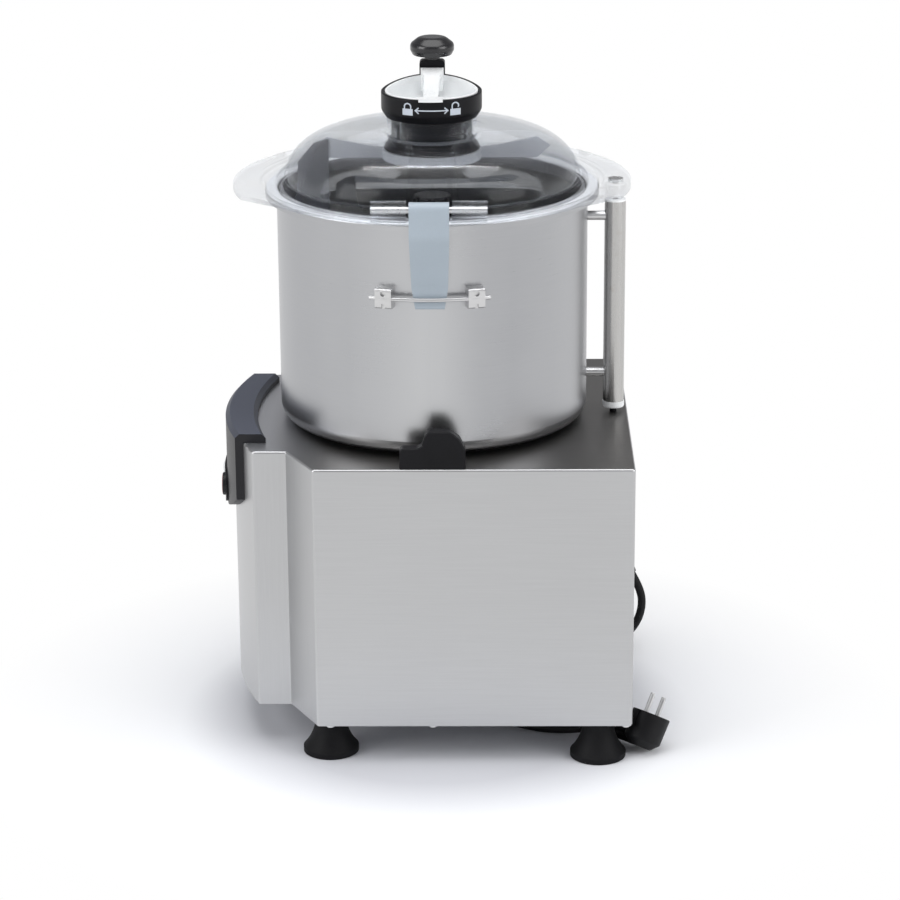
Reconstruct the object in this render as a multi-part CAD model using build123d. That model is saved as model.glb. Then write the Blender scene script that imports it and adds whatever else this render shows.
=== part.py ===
from build123d import *
import math
import os

# Table-top bowl cutter, in millimetres. The origin is at floor level under the drive shaft and +Z is up.
# The control panel faces -Y, the bowl's handle and the mains cord are at +Y, the lid's hinge is at +X.

# ---- Housing: folded sheet, recessed front with slanted facets and a curved face
SHEET = 1.5
BEND = 1.5
FOOT_HEIGHT = 38.0
HOUSING_HEIGHT = 253.3
HALF_WIDTH = 177.5
REAR_Y = 186.4
SIDE_FRONT_Y = 108.0
RECESS_HALF_WIDTH = 124.2
RECESS_BACK_Y = 135.8
RECESS_FRONT_Y = 166.6
FRONT_Y = 192.5
RETURN_FLANGE = 12.0
PLATE_INSET = 1.0
VENT_LENGTH = 60.0
VENT_WIDTH = 4.0
VENT_PITCH = 12.0
VENT_COUNT = 7

# ---- Feet
FRONT_FOOT = (142.2, 97.3)
REAR_FOOT = (154.7, 155.1)
FOOT_TOP_RADIUS = 14.5
FOOT_BOTTOM_RADIUS = 26.2
FOOT_RIM = 5.0
STUD_RADIUS = 4.0

# ---- Small hardware
SCREW_RADIUS = 2.0
SCREW_HEAD_RADIUS = 3.8
SCREW_HEAD_HEIGHT = 2.0

# ---- Running clearances: between turning or sliding faces, round fits, and seats that only rest
RUNNING = 0.05
AIR = 0.3

# ---- Motor and drive shaft
SHAFT_RADIUS = 12.0
SHAFT_FLAT = 8.5
BEARING_RADIUS = 26.0
BEARING_HEIGHT = 15.0
MOUNT_PLATE_RADIUS = 95.0
MOUNT_PLATE_THICKNESS = 6.0
MOTOR_FLANGE_RADIUS = 92.0
MOTOR_FLANGE_THICKNESS = 12.0
MOTOR_SCREW_CIRCLE = 84.0
MOTOR_SCREW_RADIUS = 4.0
CASING_RADIUS = 67.0
CASING_WALL = 5.0
CASING_HEIGHT = 142.0
FIN_RADIUS = 75.0
FIN_WIDTH = 3.0
FIN_COUNT = 24
STATOR_HEIGHT = 100.0
STATOR_END_GAP = 21.0
ROTOR_RADIUS = 40.0
SHIELD_THICKNESS = 16.0
BEARING_LIP = 1.0
FAN_RADIUS = 60.0
FAN_HEIGHT = 16.0
FAN_BLADES = 7
COWL_WALL = 1.5
COWL_HEIGHT = 42.0
BOSS_RADIUS = 20.0
BOSS_HEIGHT = 38.7
SEAL_RADIUS = 17.0
SEAL_HEIGHT = 6.0

# ---- Bowl: straight wall, turned-out lip, central chimney round the shaft
BOWL_WALL = 1.5
BOWL_RADIUS = 146.4
BOWL_HEIGHT = 222.7
BOWL_GAP = 2.0
BOWL_CORNER = 14.0
LIP_RADIUS = 157.0
LIP_DROP = 7.6
LIP_BEND = 3.0
CHIMNEY_RADIUS = 24.0
CHIMNEY_HEIGHT = 136.7
CHIMNEY_FILLET = 8.0
SEAT_RADIUS = 131.0
SEAT_WIDTH = 6.0

# ---- Bowl handle
HANDLE_Y = 172.5
HANDLE_RADIUS = 10.05
HANDLE_WALL = 1.55
HANDLE_BOTTOM = 9.3
HANDLE_LENGTH = 196.8
COLLAR_HEIGHT = 6.3
COLLAR_RADIUS = 10.5
CAP_HEIGHT = 1.6
STANDOFF_RADIUS = 4.45
STANDOFF_HEIGHTS = (37.5, 191.4)
ROD_RADIUS = 3.3
ROD_LENGTH = 209.3

# ---- Keeper bar on the bowl
KEEPER_RADIUS = 155.5
KEEPER_ROD = 2.0
KEEPER_RISE = 151.7
KEEPER_HALF_SPAN = 54.5
BRACKET_Y = 42.0
BRACKET_WIDTH = 15.5
BRACKET_DEPTH = 11.0
BRACKET_HEIGHT = 19.0
BRACKET_SLIT = 3.0
BRACKET_HOLE = 2.5

# ---- Lid: clear moulding with seal step, dome, neck, wide grip flange and hinge lugs
LID_WALL = 3.5
LID_RADIUS = 167.0
LID_RIM_HEIGHT = 4.9
LID_RIM_WIDTH = 5.0
STEP_RADIUS = 146.0
STEP_HEIGHT = 8.7
DOME_RADIUS = 139.5
DOME_RISE = 46.5
DOME_FLAT = 75.0
DOME_BASE = 6.7
PAD_RADIUS = 49.8
PAD_HEIGHT = 54.2
NECK_RADIUS = 42.1
NECK_TOP = 64.4
NECK_BOTTOM = 45.7
NECK_BORE = 38.0
GRIP_RADIUS = 187.0
GRIP_THICKNESS = 4.5
GRIP_END_X = 66.0
GRIP_CUT_X = 101.0
SKIRT_DEPTH = 10.0
SEAL_OUTER = 143.6
SEAL_INNER = 140.4
MAGNET_RADIUS = 7.0
MAGNET_DEPTH = 3.5

# ---- Hinge between the lid and its arm
HINGE_X = 164.0
HINGE_RISE = 14.0
PIN_RADIUS = 3.0
PIN_HALF_LENGTH = 52.0
LUG_RADIUS = 8.5
LUG_INNER_Y = 20.5
LUG_FOOT_X = 151.5
ARM_RADIUS = 7.0
ARM_THICKNESS = 4.5
ARM_TOP_WIDTH = 36.0
ARM_WIDTH = 33.0
ARM_TIP_WIDTH = 26.5
ARM_BEND_DROP = 25.3
ARM_SLANT_DROP = 75.3
ARM_TIP_DROP = 95.3
ARM_WALL_GAP = 1.2
NOTCH_HALF_WIDTH = 19.0
NOTCH_X = 152.0

# ---- Scraper and its crank
HUB_WALL = 4.95
CONE_RADIUS = 46.3
CONE_TOP_RADIUS = 39.0
CONE_HEIGHT = 11.3
ARM_RING_HEIGHT = 9.0
WING_THICKNESS = 4.0
WING_TIP_Y = 98.5
WING_END_Y = 111.0
WING_CLEARANCE = 1.4
PADDLE_TOP_Y = 125.5
PADDLE_RADIUS = 140.3
PADDLE_INNER_Y = 97.0
PADDLE_BOTTOM = 86.0
RING_FOOT_RADIUS = 42.5
RING_RADIUS = 47.1
RING_INNER = 43.9
RING_HEIGHT = 23.8
RING_FLOOR = 6.7
RING_SHOULDER = 7.0
RING_CORNER = 8.0
POST_X = 50.0
POST_WIDTH = 24.0
POST_DEPTH = 13.5
POST_HEIGHT = 43.8
POST_CORNER = 4.0
KNOB_RADIUS = 20.8
KNOB_HEIGHT = 17.2
KNOB_NECK = 7.3
KNOB_NECK_HEIGHT = 4.2
KNOB_STEM = 5.0
KNOB_STEM_DEPTH = 16.0

# ---- White filler cap in the crank ring
CAP_CLEARANCE = 0.5
CAP_WALL = 2.0
CAP_DEPTH = 17.5
CAP_TAB_WIDTH = 22.4
CAP_TAB_DROP = 3.8
BRIDGE_FRONT_WIDTH = 13.8
BRIDGE_BACK_WIDTH = 22.0
BRIDGE_THICKNESS = 4.0
BRIDGE_RISE = 13.1

# ---- Knives
KNIFE_HUB_RADIUS = 33.0
KNIFE_HUB_BORE = 26.0
KNIFE_HUB_TOP_RADIUS = 28.0
KNIFE_HEAD = 36.0
KNIFE_KNOB_RADIUS = 18.5
KNIFE_KNOB_HEIGHT = 37.0
KNIFE_KNOB_FLUTES = 8
BLADE_THICKNESS = 2.5
BLADE_ROOT = 40.0
LOWER_BLADE_TIP = 134.0
UPPER_BLADE_TIP = 138.0
LOWER_BLADE_RISE = 6.2
UPPER_BLADE_RISE = 40.0

# ---- Bowl catch on the top plate
CATCH_X = 171.0
CATCH_THICKNESS = 11.0
CATCH_PIVOT_Y = 20.6
CATCH_PIN_RADIUS = 3.0
CATCH_HEIGHT = 35.3

# ---- Control panel
PANEL_HALF_WIDTH = 98.0
PANEL_RISE = 8.7
PANEL_PROUD = 7.5
PANEL_INNER_Y = 169.0
PANEL_INNER_SIDE_Y = 155.5
PANEL_CHAMFER = 4.0
PANEL_SIDE_DROP = 56.0
PANEL_MIDDLE_DROP = 84.0
KEYPAD_HALF_LENGTH = 50.0
KEYPAD_HALF_HEIGHT = 16.0
KEYPAD_PROUD = 2.2
KEYPAD_DROP = 62.3
BUTTON_RADIUS = 11.0
BUTTON_SPACING = 32.0
BUTTON_PROUD = 2.4
BUTTON_TRAVEL = 1.5
BUTTON_STEM = 3.0

# ---- Mains cord and plug
CORD_RADIUS = 4.15
GLAND = (-110.0, 102.6)
GLAND_RADIUS = 11.0
GLAND_REACH = 22.0
GLAND_TILT = 60.0
COIL_CENTRE = (0.0, 20.0)
COIL_OUTER = 53.0
COIL_INNER = 38.6
COIL_PITCH = 8.4
COIL_ENTRY = 202.0
COIL_EXIT = -30.0
COIL_STUB = 30.0
PLUG_FACE = (138.0, 206.5)
PLUG_LEAN = 31.2
PLUG_HEADING = 135.3
PLUG_TURN = 182.0
PLUG_RADIUS = 18.5
PLUG_DEPTH = 33.0
PLUG_WAIST = 17.8
PLUG_BACK_RADIUS = 10.5
PLUG_BACK_RISE = 7.0
PLUG_BOOT_LENGTH = 30.0
PLUG_BOOT_RADIUS = 6.5
PLUG_CLIP_WIDTH = 5.0
PLUG_CLIP_DEPTH = 2.5
PLUG_PIN_RADIUS = 2.4
PLUG_PIN_LENGTH = 19.0
PLUG_PIN_SPACING = 19.0

# ---- Levels that several pieces share
TOP = FOOT_HEIGHT + HOUSING_HEIGHT
PLATE_UNDERSIDE = TOP - SHEET
BOWL_BOTTOM = TOP + BOWL_GAP
BOWL_FLOOR = BOWL_BOTTOM + BOWL_WALL
RIM = BOWL_BOTTOM + BOWL_HEIGHT
BOWL_INSIDE = BOWL_RADIUS - BOWL_WALL
CHIMNEY_TOP = BOWL_BOTTOM + CHIMNEY_HEIGHT
LID = RIM + AIR
HINGE_Z = LID + HINGE_RISE
NECK_END = LID + NECK_TOP
KEEPER_Z = BOWL_BOTTOM + KEEPER_RISE
FLANGE_TOP = PLATE_UNDERSIDE - MOUNT_PLATE_THICKNESS
FLANGE_BOTTOM = FLANGE_TOP - MOTOR_FLANGE_THICKNESS
CASING_BOTTOM = FLANGE_BOTTOM - CASING_HEIGHT
SHIELD_BOTTOM = CASING_BOTTOM - SHIELD_THICKNESS
STATOR_TOP = FLANGE_BOTTOM - STATOR_END_GAP
FAN_TOP = SHIELD_BOTTOM - 2 * BEARING_LIP
SHAFT_BOTTOM = FAN_TOP - FAN_HEIGHT - BEARING_LIP
SHAFT_SHOULDER = CHIMNEY_TOP + BOWL_GAP
SHAFT_TOP = SHAFT_SHOULDER + KNIFE_HEAD - 2 * BOWL_GAP
PANEL_TOP = TOP + PANEL_RISE


# ------------------------------------------------------------------ shape helpers
def rounded_face(corners):
    """Face inside a closed outline of (x, y, radius) corners, each corner rounded by its own radius."""
    count = len(corners)
    joins = []
    for index in range(count):
        before, here, after = (Vector(*corners[(index + step) % count][:2]) for step in (-1, 0, 1))
        radius = corners[index][2]
        to_before = (before - here).normalized()
        to_after = (after - here).normalized()
        if radius == 0:
            joins.append((here, here, here))
            continue
        half = math.radians(to_before.get_angle(to_after)) / 2
        middle = (to_before + to_after).normalized() * (radius / math.sin(half) - radius)
        setback = radius / math.tan(half)
        joins.append((here + to_before * setback, here + middle, here + to_after * setback))
    edges = []
    for index, (start, middle, end) in enumerate(joins):
        if (end - start).length > 0:
            edges.append(ThreePointArc(start, middle, end))
        following = joins[(index + 1) % count][0]
        if (following - end).length > 1e-6:
            edges.append(Line(end, following))
    return make_face(edges)


def turned(corners):
    """Solid of revolution about the vertical axis, from (radius, height, corner radius) corners."""
    return revolve(Plane.XZ * rounded_face(corners), Axis.Z)


def disc(radius, bottom, top, bore=0.0):
    """Upright cylinder, or ring, between two heights."""
    solid = Pos(0, 0, bottom) * Cylinder(radius, top - bottom, align=(Align.CENTER, Align.CENTER, Align.MIN))
    if bore > 0:
        solid -= disc(bore, bottom, top)
    return solid


def box(low, high):
    """Block between two opposite corners."""
    size = [high[axis] - low[axis] for axis in range(3)]
    return Pos(*low) * Box(*size, align=(Align.MIN, Align.MIN, Align.MIN))


def prism(face, bottom, top):
    """Upright extrusion of a plan outline."""
    return extrude(Pos(0, 0, bottom) * face, top - bottom)


def side_prism(face, middle, width):
    """Extrusion along Y of an outline drawn in X and Z, centred at Y = middle."""
    return Pos(0, middle + width / 2, 0) * extrude(Plane.XZ * face, width)


def around(count, first=0.0):
    """Rotations that set pieces evenly round the vertical axis."""
    return [Rot(0, 0, first + 360 * index / count) for index in range(count)]


def group(pieces):
    """Several separate solids kept as one node."""
    return Compound(children=[solid for piece in pieces for solid in piece.solids()])


# ------------------------------------------------------------------ base
def housing_outline(inset, inner_bend):
    """Plan outline of the housing moved in by inset, its vertical bends rounded for that face of the sheet."""
    slant_x = HALF_WIDTH - RECESS_HALF_WIDTH
    slant_y = RECESS_BACK_Y - SIDE_FRONT_Y
    shift = inset * (math.hypot(slant_x, slant_y) - slant_y) / slant_x
    sagitta = FRONT_Y - RECESS_FRONT_Y
    front_radius = (RECESS_HALF_WIDTH**2 + sagitta**2) / (2 * sagitta)
    centre_y = front_radius - FRONT_Y
    half = HALF_WIDTH - inset
    recess = RECESS_HALF_WIDTH - inset
    front = centre_y - math.sqrt((front_radius - inset) ** 2 - recess**2)
    side = [
        (half, REAR_Y - inset),
        (half, -SIDE_FRONT_Y + shift),
        (recess, -RECESS_BACK_Y + shift),
        (recess, front),
    ]
    mirrored = [(-x, y) for x, y in reversed(side)]
    arc = ThreePointArc(side[-1], (0, inset - FRONT_Y), mirrored[0])
    face = make_face([Polyline(*side), arc, Polyline(*mirrored, side[0])])
    if inner_bend:
        hollow = [v for v in face.vertices() if abs(v.Y + RECESS_BACK_Y - shift) < 1e-3]
        proud = [v for v in face.vertices() if abs(v.Y + RECESS_BACK_Y - shift) >= 1e-3]
        face = fillet(proud, inner_bend)
        hollow = [v for v in face.vertices() for h in hollow if (v.center() - h.center()).length < 1e-3]
        face = fillet(hollow, BEND)
    return face


def base_housing():
    """Folded housing: top, walls and an inward flange along the bottom, with the holes in its top."""
    outer = prism(housing_outline(0, BEND + SHEET), FOOT_HEIGHT + SHEET, TOP)
    outer = fillet(outer.faces().sort_by(Axis.Z)[-1].edges(), BEND + SHEET / 2)
    inner = prism(housing_outline(SHEET, BEND), FOOT_HEIGHT + 2 * SHEET, PLATE_UNDERSIDE)
    opening = prism(housing_outline(RETURN_FLANGE, 0), FOOT_HEIGHT, FOOT_HEIGHT + 3 * SHEET)
    shell = outer - inner - opening
    shell -= disc(SEAL_RADIUS, PLATE_UNDERSIDE, TOP)
    shell -= Pos(0, HANDLE_Y, 0) * disc(ROD_RADIUS + AIR, PLATE_UNDERSIDE, TOP)
    shell -= Pos(CATCH_X, -CATCH_PIVOT_Y, 0) * disc(CATCH_PIN_RADIUS, PLATE_UNDERSIDE, TOP)
    gland_x, gland_z = GLAND
    shell -= Pos(gland_x, REAR_Y, gland_z) * Rot(90, 0, 0) * Cylinder(CORD_RADIUS + SHEET, 4 * SHEET)
    return shell


def plate_screw_places():
    """Plan places of the bottom plate's screws, in the middle of the return flange."""
    inset = RETURN_FLANGE / 2
    sides = [(s * (HALF_WIDTH - inset), y) for s in (-1, 1) for y in (REAR_Y - inset, 0, -SIDE_FRONT_Y + 2 * inset)]
    fronts = [(s * RECESS_HALF_WIDTH / 2, REAR_Y - inset) for s in (-1, 1)]
    return sides + fronts


def foot_places():
    """Plan places of the four feet, by name."""
    places = {}
    for name, (x, y) in (("front", (FRONT_FOOT[0], -FRONT_FOOT[1])), ("rear", REAR_FOOT)):
        places[name + "_left"] = (-x, y)
        places[name + "_right"] = (x, y)
    return places


def bottom_plate():
    """Flat cover under the housing with cooling slots under the motor's fan."""
    plate = prism(housing_outline(PLATE_INSET, BEND), FOOT_HEIGHT, FOOT_HEIGHT + SHEET)
    slot = SlotOverall(VENT_LENGTH, VENT_WIDTH)
    for index in range(VENT_COUNT):
        offset = (index - (VENT_COUNT - 1) / 2) * VENT_PITCH
        plate -= prism(Pos(0, offset) * slot, FOOT_HEIGHT, FOOT_HEIGHT + SHEET)
    for x, y in plate_screw_places():
        plate -= Pos(x, y, 0) * disc(SCREW_RADIUS + RUNNING, FOOT_HEIGHT, FOOT_HEIGHT + SHEET)
    for x, y in foot_places().values():
        plate -= Pos(x, y, 0) * disc(STUD_RADIUS, FOOT_HEIGHT, FOOT_HEIGHT + SHEET)
    return plate


def bottom_plate_screws():
    """Round-headed screws that hold the bottom plate to the flange."""
    screw = disc(SCREW_HEAD_RADIUS, FOOT_HEIGHT - SCREW_HEAD_HEIGHT, FOOT_HEIGHT)
    screw += disc(SCREW_RADIUS, FOOT_HEIGHT - SCREW_HEAD_HEIGHT, FOOT_HEIGHT + SHEET)
    return group([Pos(x, y, 0) * screw for x, y in plate_screw_places()])


def foot():
    """Rubber foot: a short upright rim, a hollow flare and a flat top."""
    flare = ThreePointArc(
        (FOOT_BOTTOM_RADIUS, FOOT_RIM),
        (FOOT_TOP_RADIUS + 0.32 * (FOOT_BOTTOM_RADIUS - FOOT_TOP_RADIUS), FOOT_HEIGHT * 0.45),
        (FOOT_TOP_RADIUS, FOOT_HEIGHT),
    )
    rest = Polyline((FOOT_TOP_RADIUS, FOOT_HEIGHT), (0, FOOT_HEIGHT), (0, 0), (FOOT_BOTTOM_RADIUS, 0),
                    (FOOT_BOTTOM_RADIUS, FOOT_RIM))
    return revolve(Plane.XZ * make_face([flare, rest]), Axis.Z)


def foot_studs():
    """Threaded studs of the feet, with a nut each on the bottom plate."""
    plate_top = FOOT_HEIGHT + SHEET
    nut = prism(RegularPolygon(2 * STUD_RADIUS, 6), plate_top, plate_top + 1.6 * STUD_RADIUS)
    stud = disc(STUD_RADIUS, FOOT_HEIGHT, plate_top + 2.2 * STUD_RADIUS)
    return group([Pos(x, y, 0) * (nut + stud) for x, y in foot_places().values()])


def bowl_seat_ring():
    """Low ring on the top plate that the bowl rests on."""
    return disc(SEAT_RADIUS, TOP, BOWL_BOTTOM - AIR, SEAT_RADIUS - SEAT_WIDTH)


def shaft_boss():
    """Upright sleeve round the drive shaft, with a spigot down through the top plate."""
    boss = disc(BOSS_RADIUS, TOP, TOP + BOSS_HEIGHT)
    boss += disc(SEAL_RADIUS, FLANGE_TOP, TOP)
    boss -= disc(SHAFT_RADIUS + AIR, FLANGE_TOP, TOP + BOSS_HEIGHT)
    return boss - disc(SEAL_RADIUS, TOP + BOSS_HEIGHT - SEAL_HEIGHT, TOP + BOSS_HEIGHT)


def shaft_seal():
    """Lip seal in the top of the boss."""
    top = TOP + BOSS_HEIGHT
    return disc(SEAL_RADIUS, top - SEAL_HEIGHT, top, SHAFT_RADIUS + RUNNING)


def motor_mount_plate():
    """Round plate welded under the housing's top, tapped for the motor's screws."""
    plate = disc(MOUNT_PLATE_RADIUS, FLANGE_TOP, PLATE_UNDERSIDE, SEAL_RADIUS)
    for turn in around(4, 45):
        plate -= turn * Pos(MOTOR_SCREW_CIRCLE, 0, 0) * disc(MOTOR_SCREW_RADIUS, FLANGE_TOP, PLATE_UNDERSIDE)
    return plate


def motor_flange():
    """Motor's upper end plate, with the upper bearing's seat."""
    flange = disc(MOTOR_FLANGE_RADIUS, FLANGE_BOTTOM, FLANGE_TOP)
    flange += disc(BEARING_RADIUS + 2 * CASING_WALL, FLANGE_TOP - BEARING_HEIGHT - BEARING_LIP, FLANGE_TOP)
    flange -= disc(BEARING_RADIUS, FLANGE_TOP - BEARING_HEIGHT, FLANGE_TOP)
    flange -= disc((SHAFT_RADIUS + BEARING_RADIUS) / 2, FLANGE_BOTTOM - MOTOR_FLANGE_THICKNESS, FLANGE_TOP)
    for turn in around(4, 45):
        flange -= turn * Pos(MOTOR_SCREW_CIRCLE, 0, 0) * disc(MOTOR_SCREW_RADIUS + RUNNING, FLANGE_BOTTOM, FLANGE_TOP)
    return flange


def motor_screws():
    """Hexagon screws that hold the motor under the mount plate."""
    head = prism(RegularPolygon(1.7 * MOTOR_SCREW_RADIUS, 6), FLANGE_BOTTOM - 1.3 * MOTOR_SCREW_RADIUS, FLANGE_BOTTOM)
    screw = head + disc(MOTOR_SCREW_RADIUS, FLANGE_BOTTOM, PLATE_UNDERSIDE - SHEET)
    return group([turn * Pos(MOTOR_SCREW_CIRCLE, 0, 0) * screw for turn in around(4, 45)])


def motor_casing():
    """Cast motor body with upright cooling fins."""
    casing = disc(CASING_RADIUS, CASING_BOTTOM, FLANGE_BOTTOM)
    fin = box((0, -FIN_WIDTH / 2, CASING_BOTTOM), (FIN_RADIUS, FIN_WIDTH / 2, FLANGE_BOTTOM))
    for turn in around(FIN_COUNT):
        casing += turn * fin
    return casing - disc(CASING_RADIUS - CASING_WALL, CASING_BOTTOM, FLANGE_BOTTOM)


def stator_core():
    """Stack of motor windings, a plain ring pressed in the casing."""
    return disc(CASING_RADIUS - CASING_WALL, STATOR_TOP - STATOR_HEIGHT, STATOR_TOP, ROTOR_RADIUS + AIR)


def lower_end_shield():
    """Motor's lower end plate, with the lower bearing's seat."""
    shield = disc(CASING_RADIUS, SHIELD_BOTTOM, CASING_BOTTOM, (SHAFT_RADIUS + BEARING_RADIUS) / 2)
    return shield - disc(BEARING_RADIUS, SHIELD_BOTTOM + BEARING_LIP, CASING_BOTTOM)


def bearing(bottom):
    """Ball bearing, drawn as one ring with its two grooves."""
    ring = disc(BEARING_RADIUS, bottom, bottom + BEARING_HEIGHT, SHAFT_RADIUS + RUNNING)
    third = (BEARING_RADIUS - SHAFT_RADIUS) / 3
    groove = disc(BEARING_RADIUS - third, bottom + BEARING_HEIGHT - SHEET, bottom + BEARING_HEIGHT,
                  SHAFT_RADIUS + third)
    return ring - groove


def fan_cowl():
    """Sheet cup round the fan, with a ring of air slots in its floor."""
    top = CASING_BOTTOM - BEARING_LIP
    bottom = top - COWL_HEIGHT
    cowl = disc(CASING_RADIUS + COWL_WALL, bottom, top) - disc(CASING_RADIUS, bottom + COWL_WALL, top)
    slot = Pos((FAN_RADIUS + BEARING_RADIUS) / 2, 0) * SlotOverall(FAN_RADIUS - BEARING_RADIUS, VENT_WIDTH)
    for turn in around(12):
        cowl -= turn * prism(slot, bottom, bottom + COWL_WALL)
    return cowl


def run_capacitor():
    """Motor capacitor standing on a bracket against the left wall."""
    radius, height, wall = 20.0, 80.0, HALF_WIDTH - SHEET
    can = Pos(radius + 2 * SHEET - wall, 60, 160) * Cylinder(radius, height)
    strap = box((-wall, 60 - radius / 2, 150), (radius - wall, 60 + radius / 2, 170))
    return can + strap


def control_board():
    """Control board on four pillars on the left wall."""
    wall = HALF_WIDTH - SHEET
    board = box((8 - wall, -90, 130), (10 - wall, 10, 210))
    for y in (-82, 2):
        for z in (138, 202):
            board += Pos(4 - wall, y, z) * Rot(0, 90, 0) * Cylinder(3, 8)
    board += box((10 - wall, -70, 150), (28 - wall, -46, 178))
    board += box((10 - wall, -30, 150), (24 - wall, 0, 166))
    return board


def interlock_switch():
    """Switch box under the top plate, its plunger in the hole below the push rod."""
    half = HANDLE_RADIUS
    body = box((-half, HANDLE_Y - half, PLATE_UNDERSIDE - 2 * half), (half, HANDLE_Y + half, PLATE_UNDERSIDE))
    return body + Pos(0, HANDLE_Y, 0) * disc(ROD_RADIUS, PLATE_UNDERSIDE, TOP)


# ------------------------------------------------------------------ shaft body
def drive_shaft():
    """Motor shaft that runs up through the boss to the knife hub, with two flats at its head."""
    shaft = disc(SHAFT_RADIUS, SHAFT_BOTTOM, SHAFT_TOP)
    for side in (-1, 1):
        flat = box((SHAFT_FLAT, -SHAFT_RADIUS, SHAFT_SHOULDER), (SHAFT_RADIUS + 1, SHAFT_RADIUS, SHAFT_TOP))
        shaft -= Rot(0, 0, 90 - 90 * side) * flat
    return chamfer(shaft.faces().sort_by(Axis.Z)[-1].edges(), 1)


def rotor():
    """Motor's rotor on the shaft."""
    return disc(ROTOR_RADIUS, STATOR_TOP - STATOR_HEIGHT, STATOR_TOP, SHAFT_RADIUS)


def cooling_fan():
    """Radial fan on the shaft's lower end."""
    bottom = FAN_TOP - FAN_HEIGHT
    fan = disc(FAN_RADIUS, FAN_TOP - SHEET, FAN_TOP) + disc(SHAFT_RADIUS + 2 * CASING_WALL, bottom, FAN_TOP)
    blade = box((SHAFT_RADIUS, -SHEET, bottom), (FAN_RADIUS, SHEET, FAN_TOP - SHEET))
    for turn in around(FAN_BLADES):
        fan += turn * blade
    return fan - disc(SHAFT_RADIUS, bottom, FAN_TOP)


# ------------------------------------------------------------------ bowl body
def bowl():
    """Spun bowl: floor, straight wall with a turned-out lip, and the chimney round the shaft."""
    inner_chimney = CHIMNEY_RADIUS - BOWL_WALL
    lip_inside = LIP_BEND - BOWL_WALL
    section = [
        (inner_chimney, BOWL_BOTTOM, CHIMNEY_FILLET),
        (BOWL_RADIUS, BOWL_BOTTOM, BOWL_CORNER),
        (BOWL_RADIUS, RIM - BOWL_WALL, lip_inside),
        (LIP_RADIUS - BOWL_WALL, RIM - BOWL_WALL, lip_inside),
        (LIP_RADIUS - BOWL_WALL, RIM - LIP_DROP, 0),
        (LIP_RADIUS, RIM - LIP_DROP, 0),
        (LIP_RADIUS, RIM, LIP_BEND),
        (BOWL_INSIDE, RIM, LIP_BEND),
        (BOWL_INSIDE, BOWL_FLOOR, BOWL_CORNER - BOWL_WALL),
        (CHIMNEY_RADIUS, BOWL_FLOOR, CHIMNEY_FILLET - BOWL_WALL),
        (CHIMNEY_RADIUS, CHIMNEY_TOP, BOWL_WALL / 3),
        (inner_chimney, CHIMNEY_TOP, BOWL_WALL / 3),
    ]
    return turned(section)


def handle_tube():
    """Upright steel tube of the bowl's handle."""
    bottom = BOWL_BOTTOM + HANDLE_BOTTOM
    return Pos(0, HANDLE_Y, 0) * disc(HANDLE_RADIUS, bottom, bottom + HANDLE_LENGTH, HANDLE_RADIUS - HANDLE_WALL)


def handle_standoffs():
    """Two short bars welded between the bowl's wall and the handle tube."""
    length = HANDLE_Y - BOWL_INSIDE
    bars = []
    for rise in STANDOFF_HEIGHTS:
        bar = Pos(0, BOWL_INSIDE + length / 2, BOWL_BOTTOM + rise) * Rot(90, 0, 0) * Cylinder(STANDOFF_RADIUS, length)
        bar -= disc(BOWL_RADIUS, BOWL_BOTTOM, RIM)
        bars.append(bar - Pos(0, HANDLE_Y, 0) * disc(HANDLE_RADIUS, BOWL_BOTTOM, RIM))
    return group(bars)


def handle_caps():
    """End pieces of the handle tube, which guide the push rod."""
    bottom = BOWL_BOTTOM + HANDLE_BOTTOM
    top = bottom + HANDLE_LENGTH
    bore = HANDLE_RADIUS - HANDLE_WALL
    collar = disc(COLLAR_RADIUS, bottom - COLLAR_HEIGHT, bottom) + disc(bore, bottom, bottom + COLLAR_HEIGHT)
    collar = fillet(collar.faces().sort_by(Axis.Z)[0].edges(), SHEET)
    cap = disc(HANDLE_RADIUS, top, top + CAP_HEIGHT) + disc(bore, top - COLLAR_HEIGHT, top)
    guide = disc(ROD_RADIUS + RUNNING, BOWL_BOTTOM, RIM)
    return Pos(0, HANDLE_Y, 0) * group([collar - guide, cap - guide])


def keeper_bar():
    """Round bar bent parallel with the bowl's wall, held off it by two brackets."""
    sweep_angle = 2 * math.degrees(math.asin(KEEPER_HALF_SPAN / KEEPER_RADIUS))
    profile = Plane.XZ * (Pos(KEEPER_RADIUS, KEEPER_Z) * Circle(KEEPER_ROD))
    return Rot(0, 0, -sweep_angle / 2) * revolve(profile, Axis.Z, sweep_angle)


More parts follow.
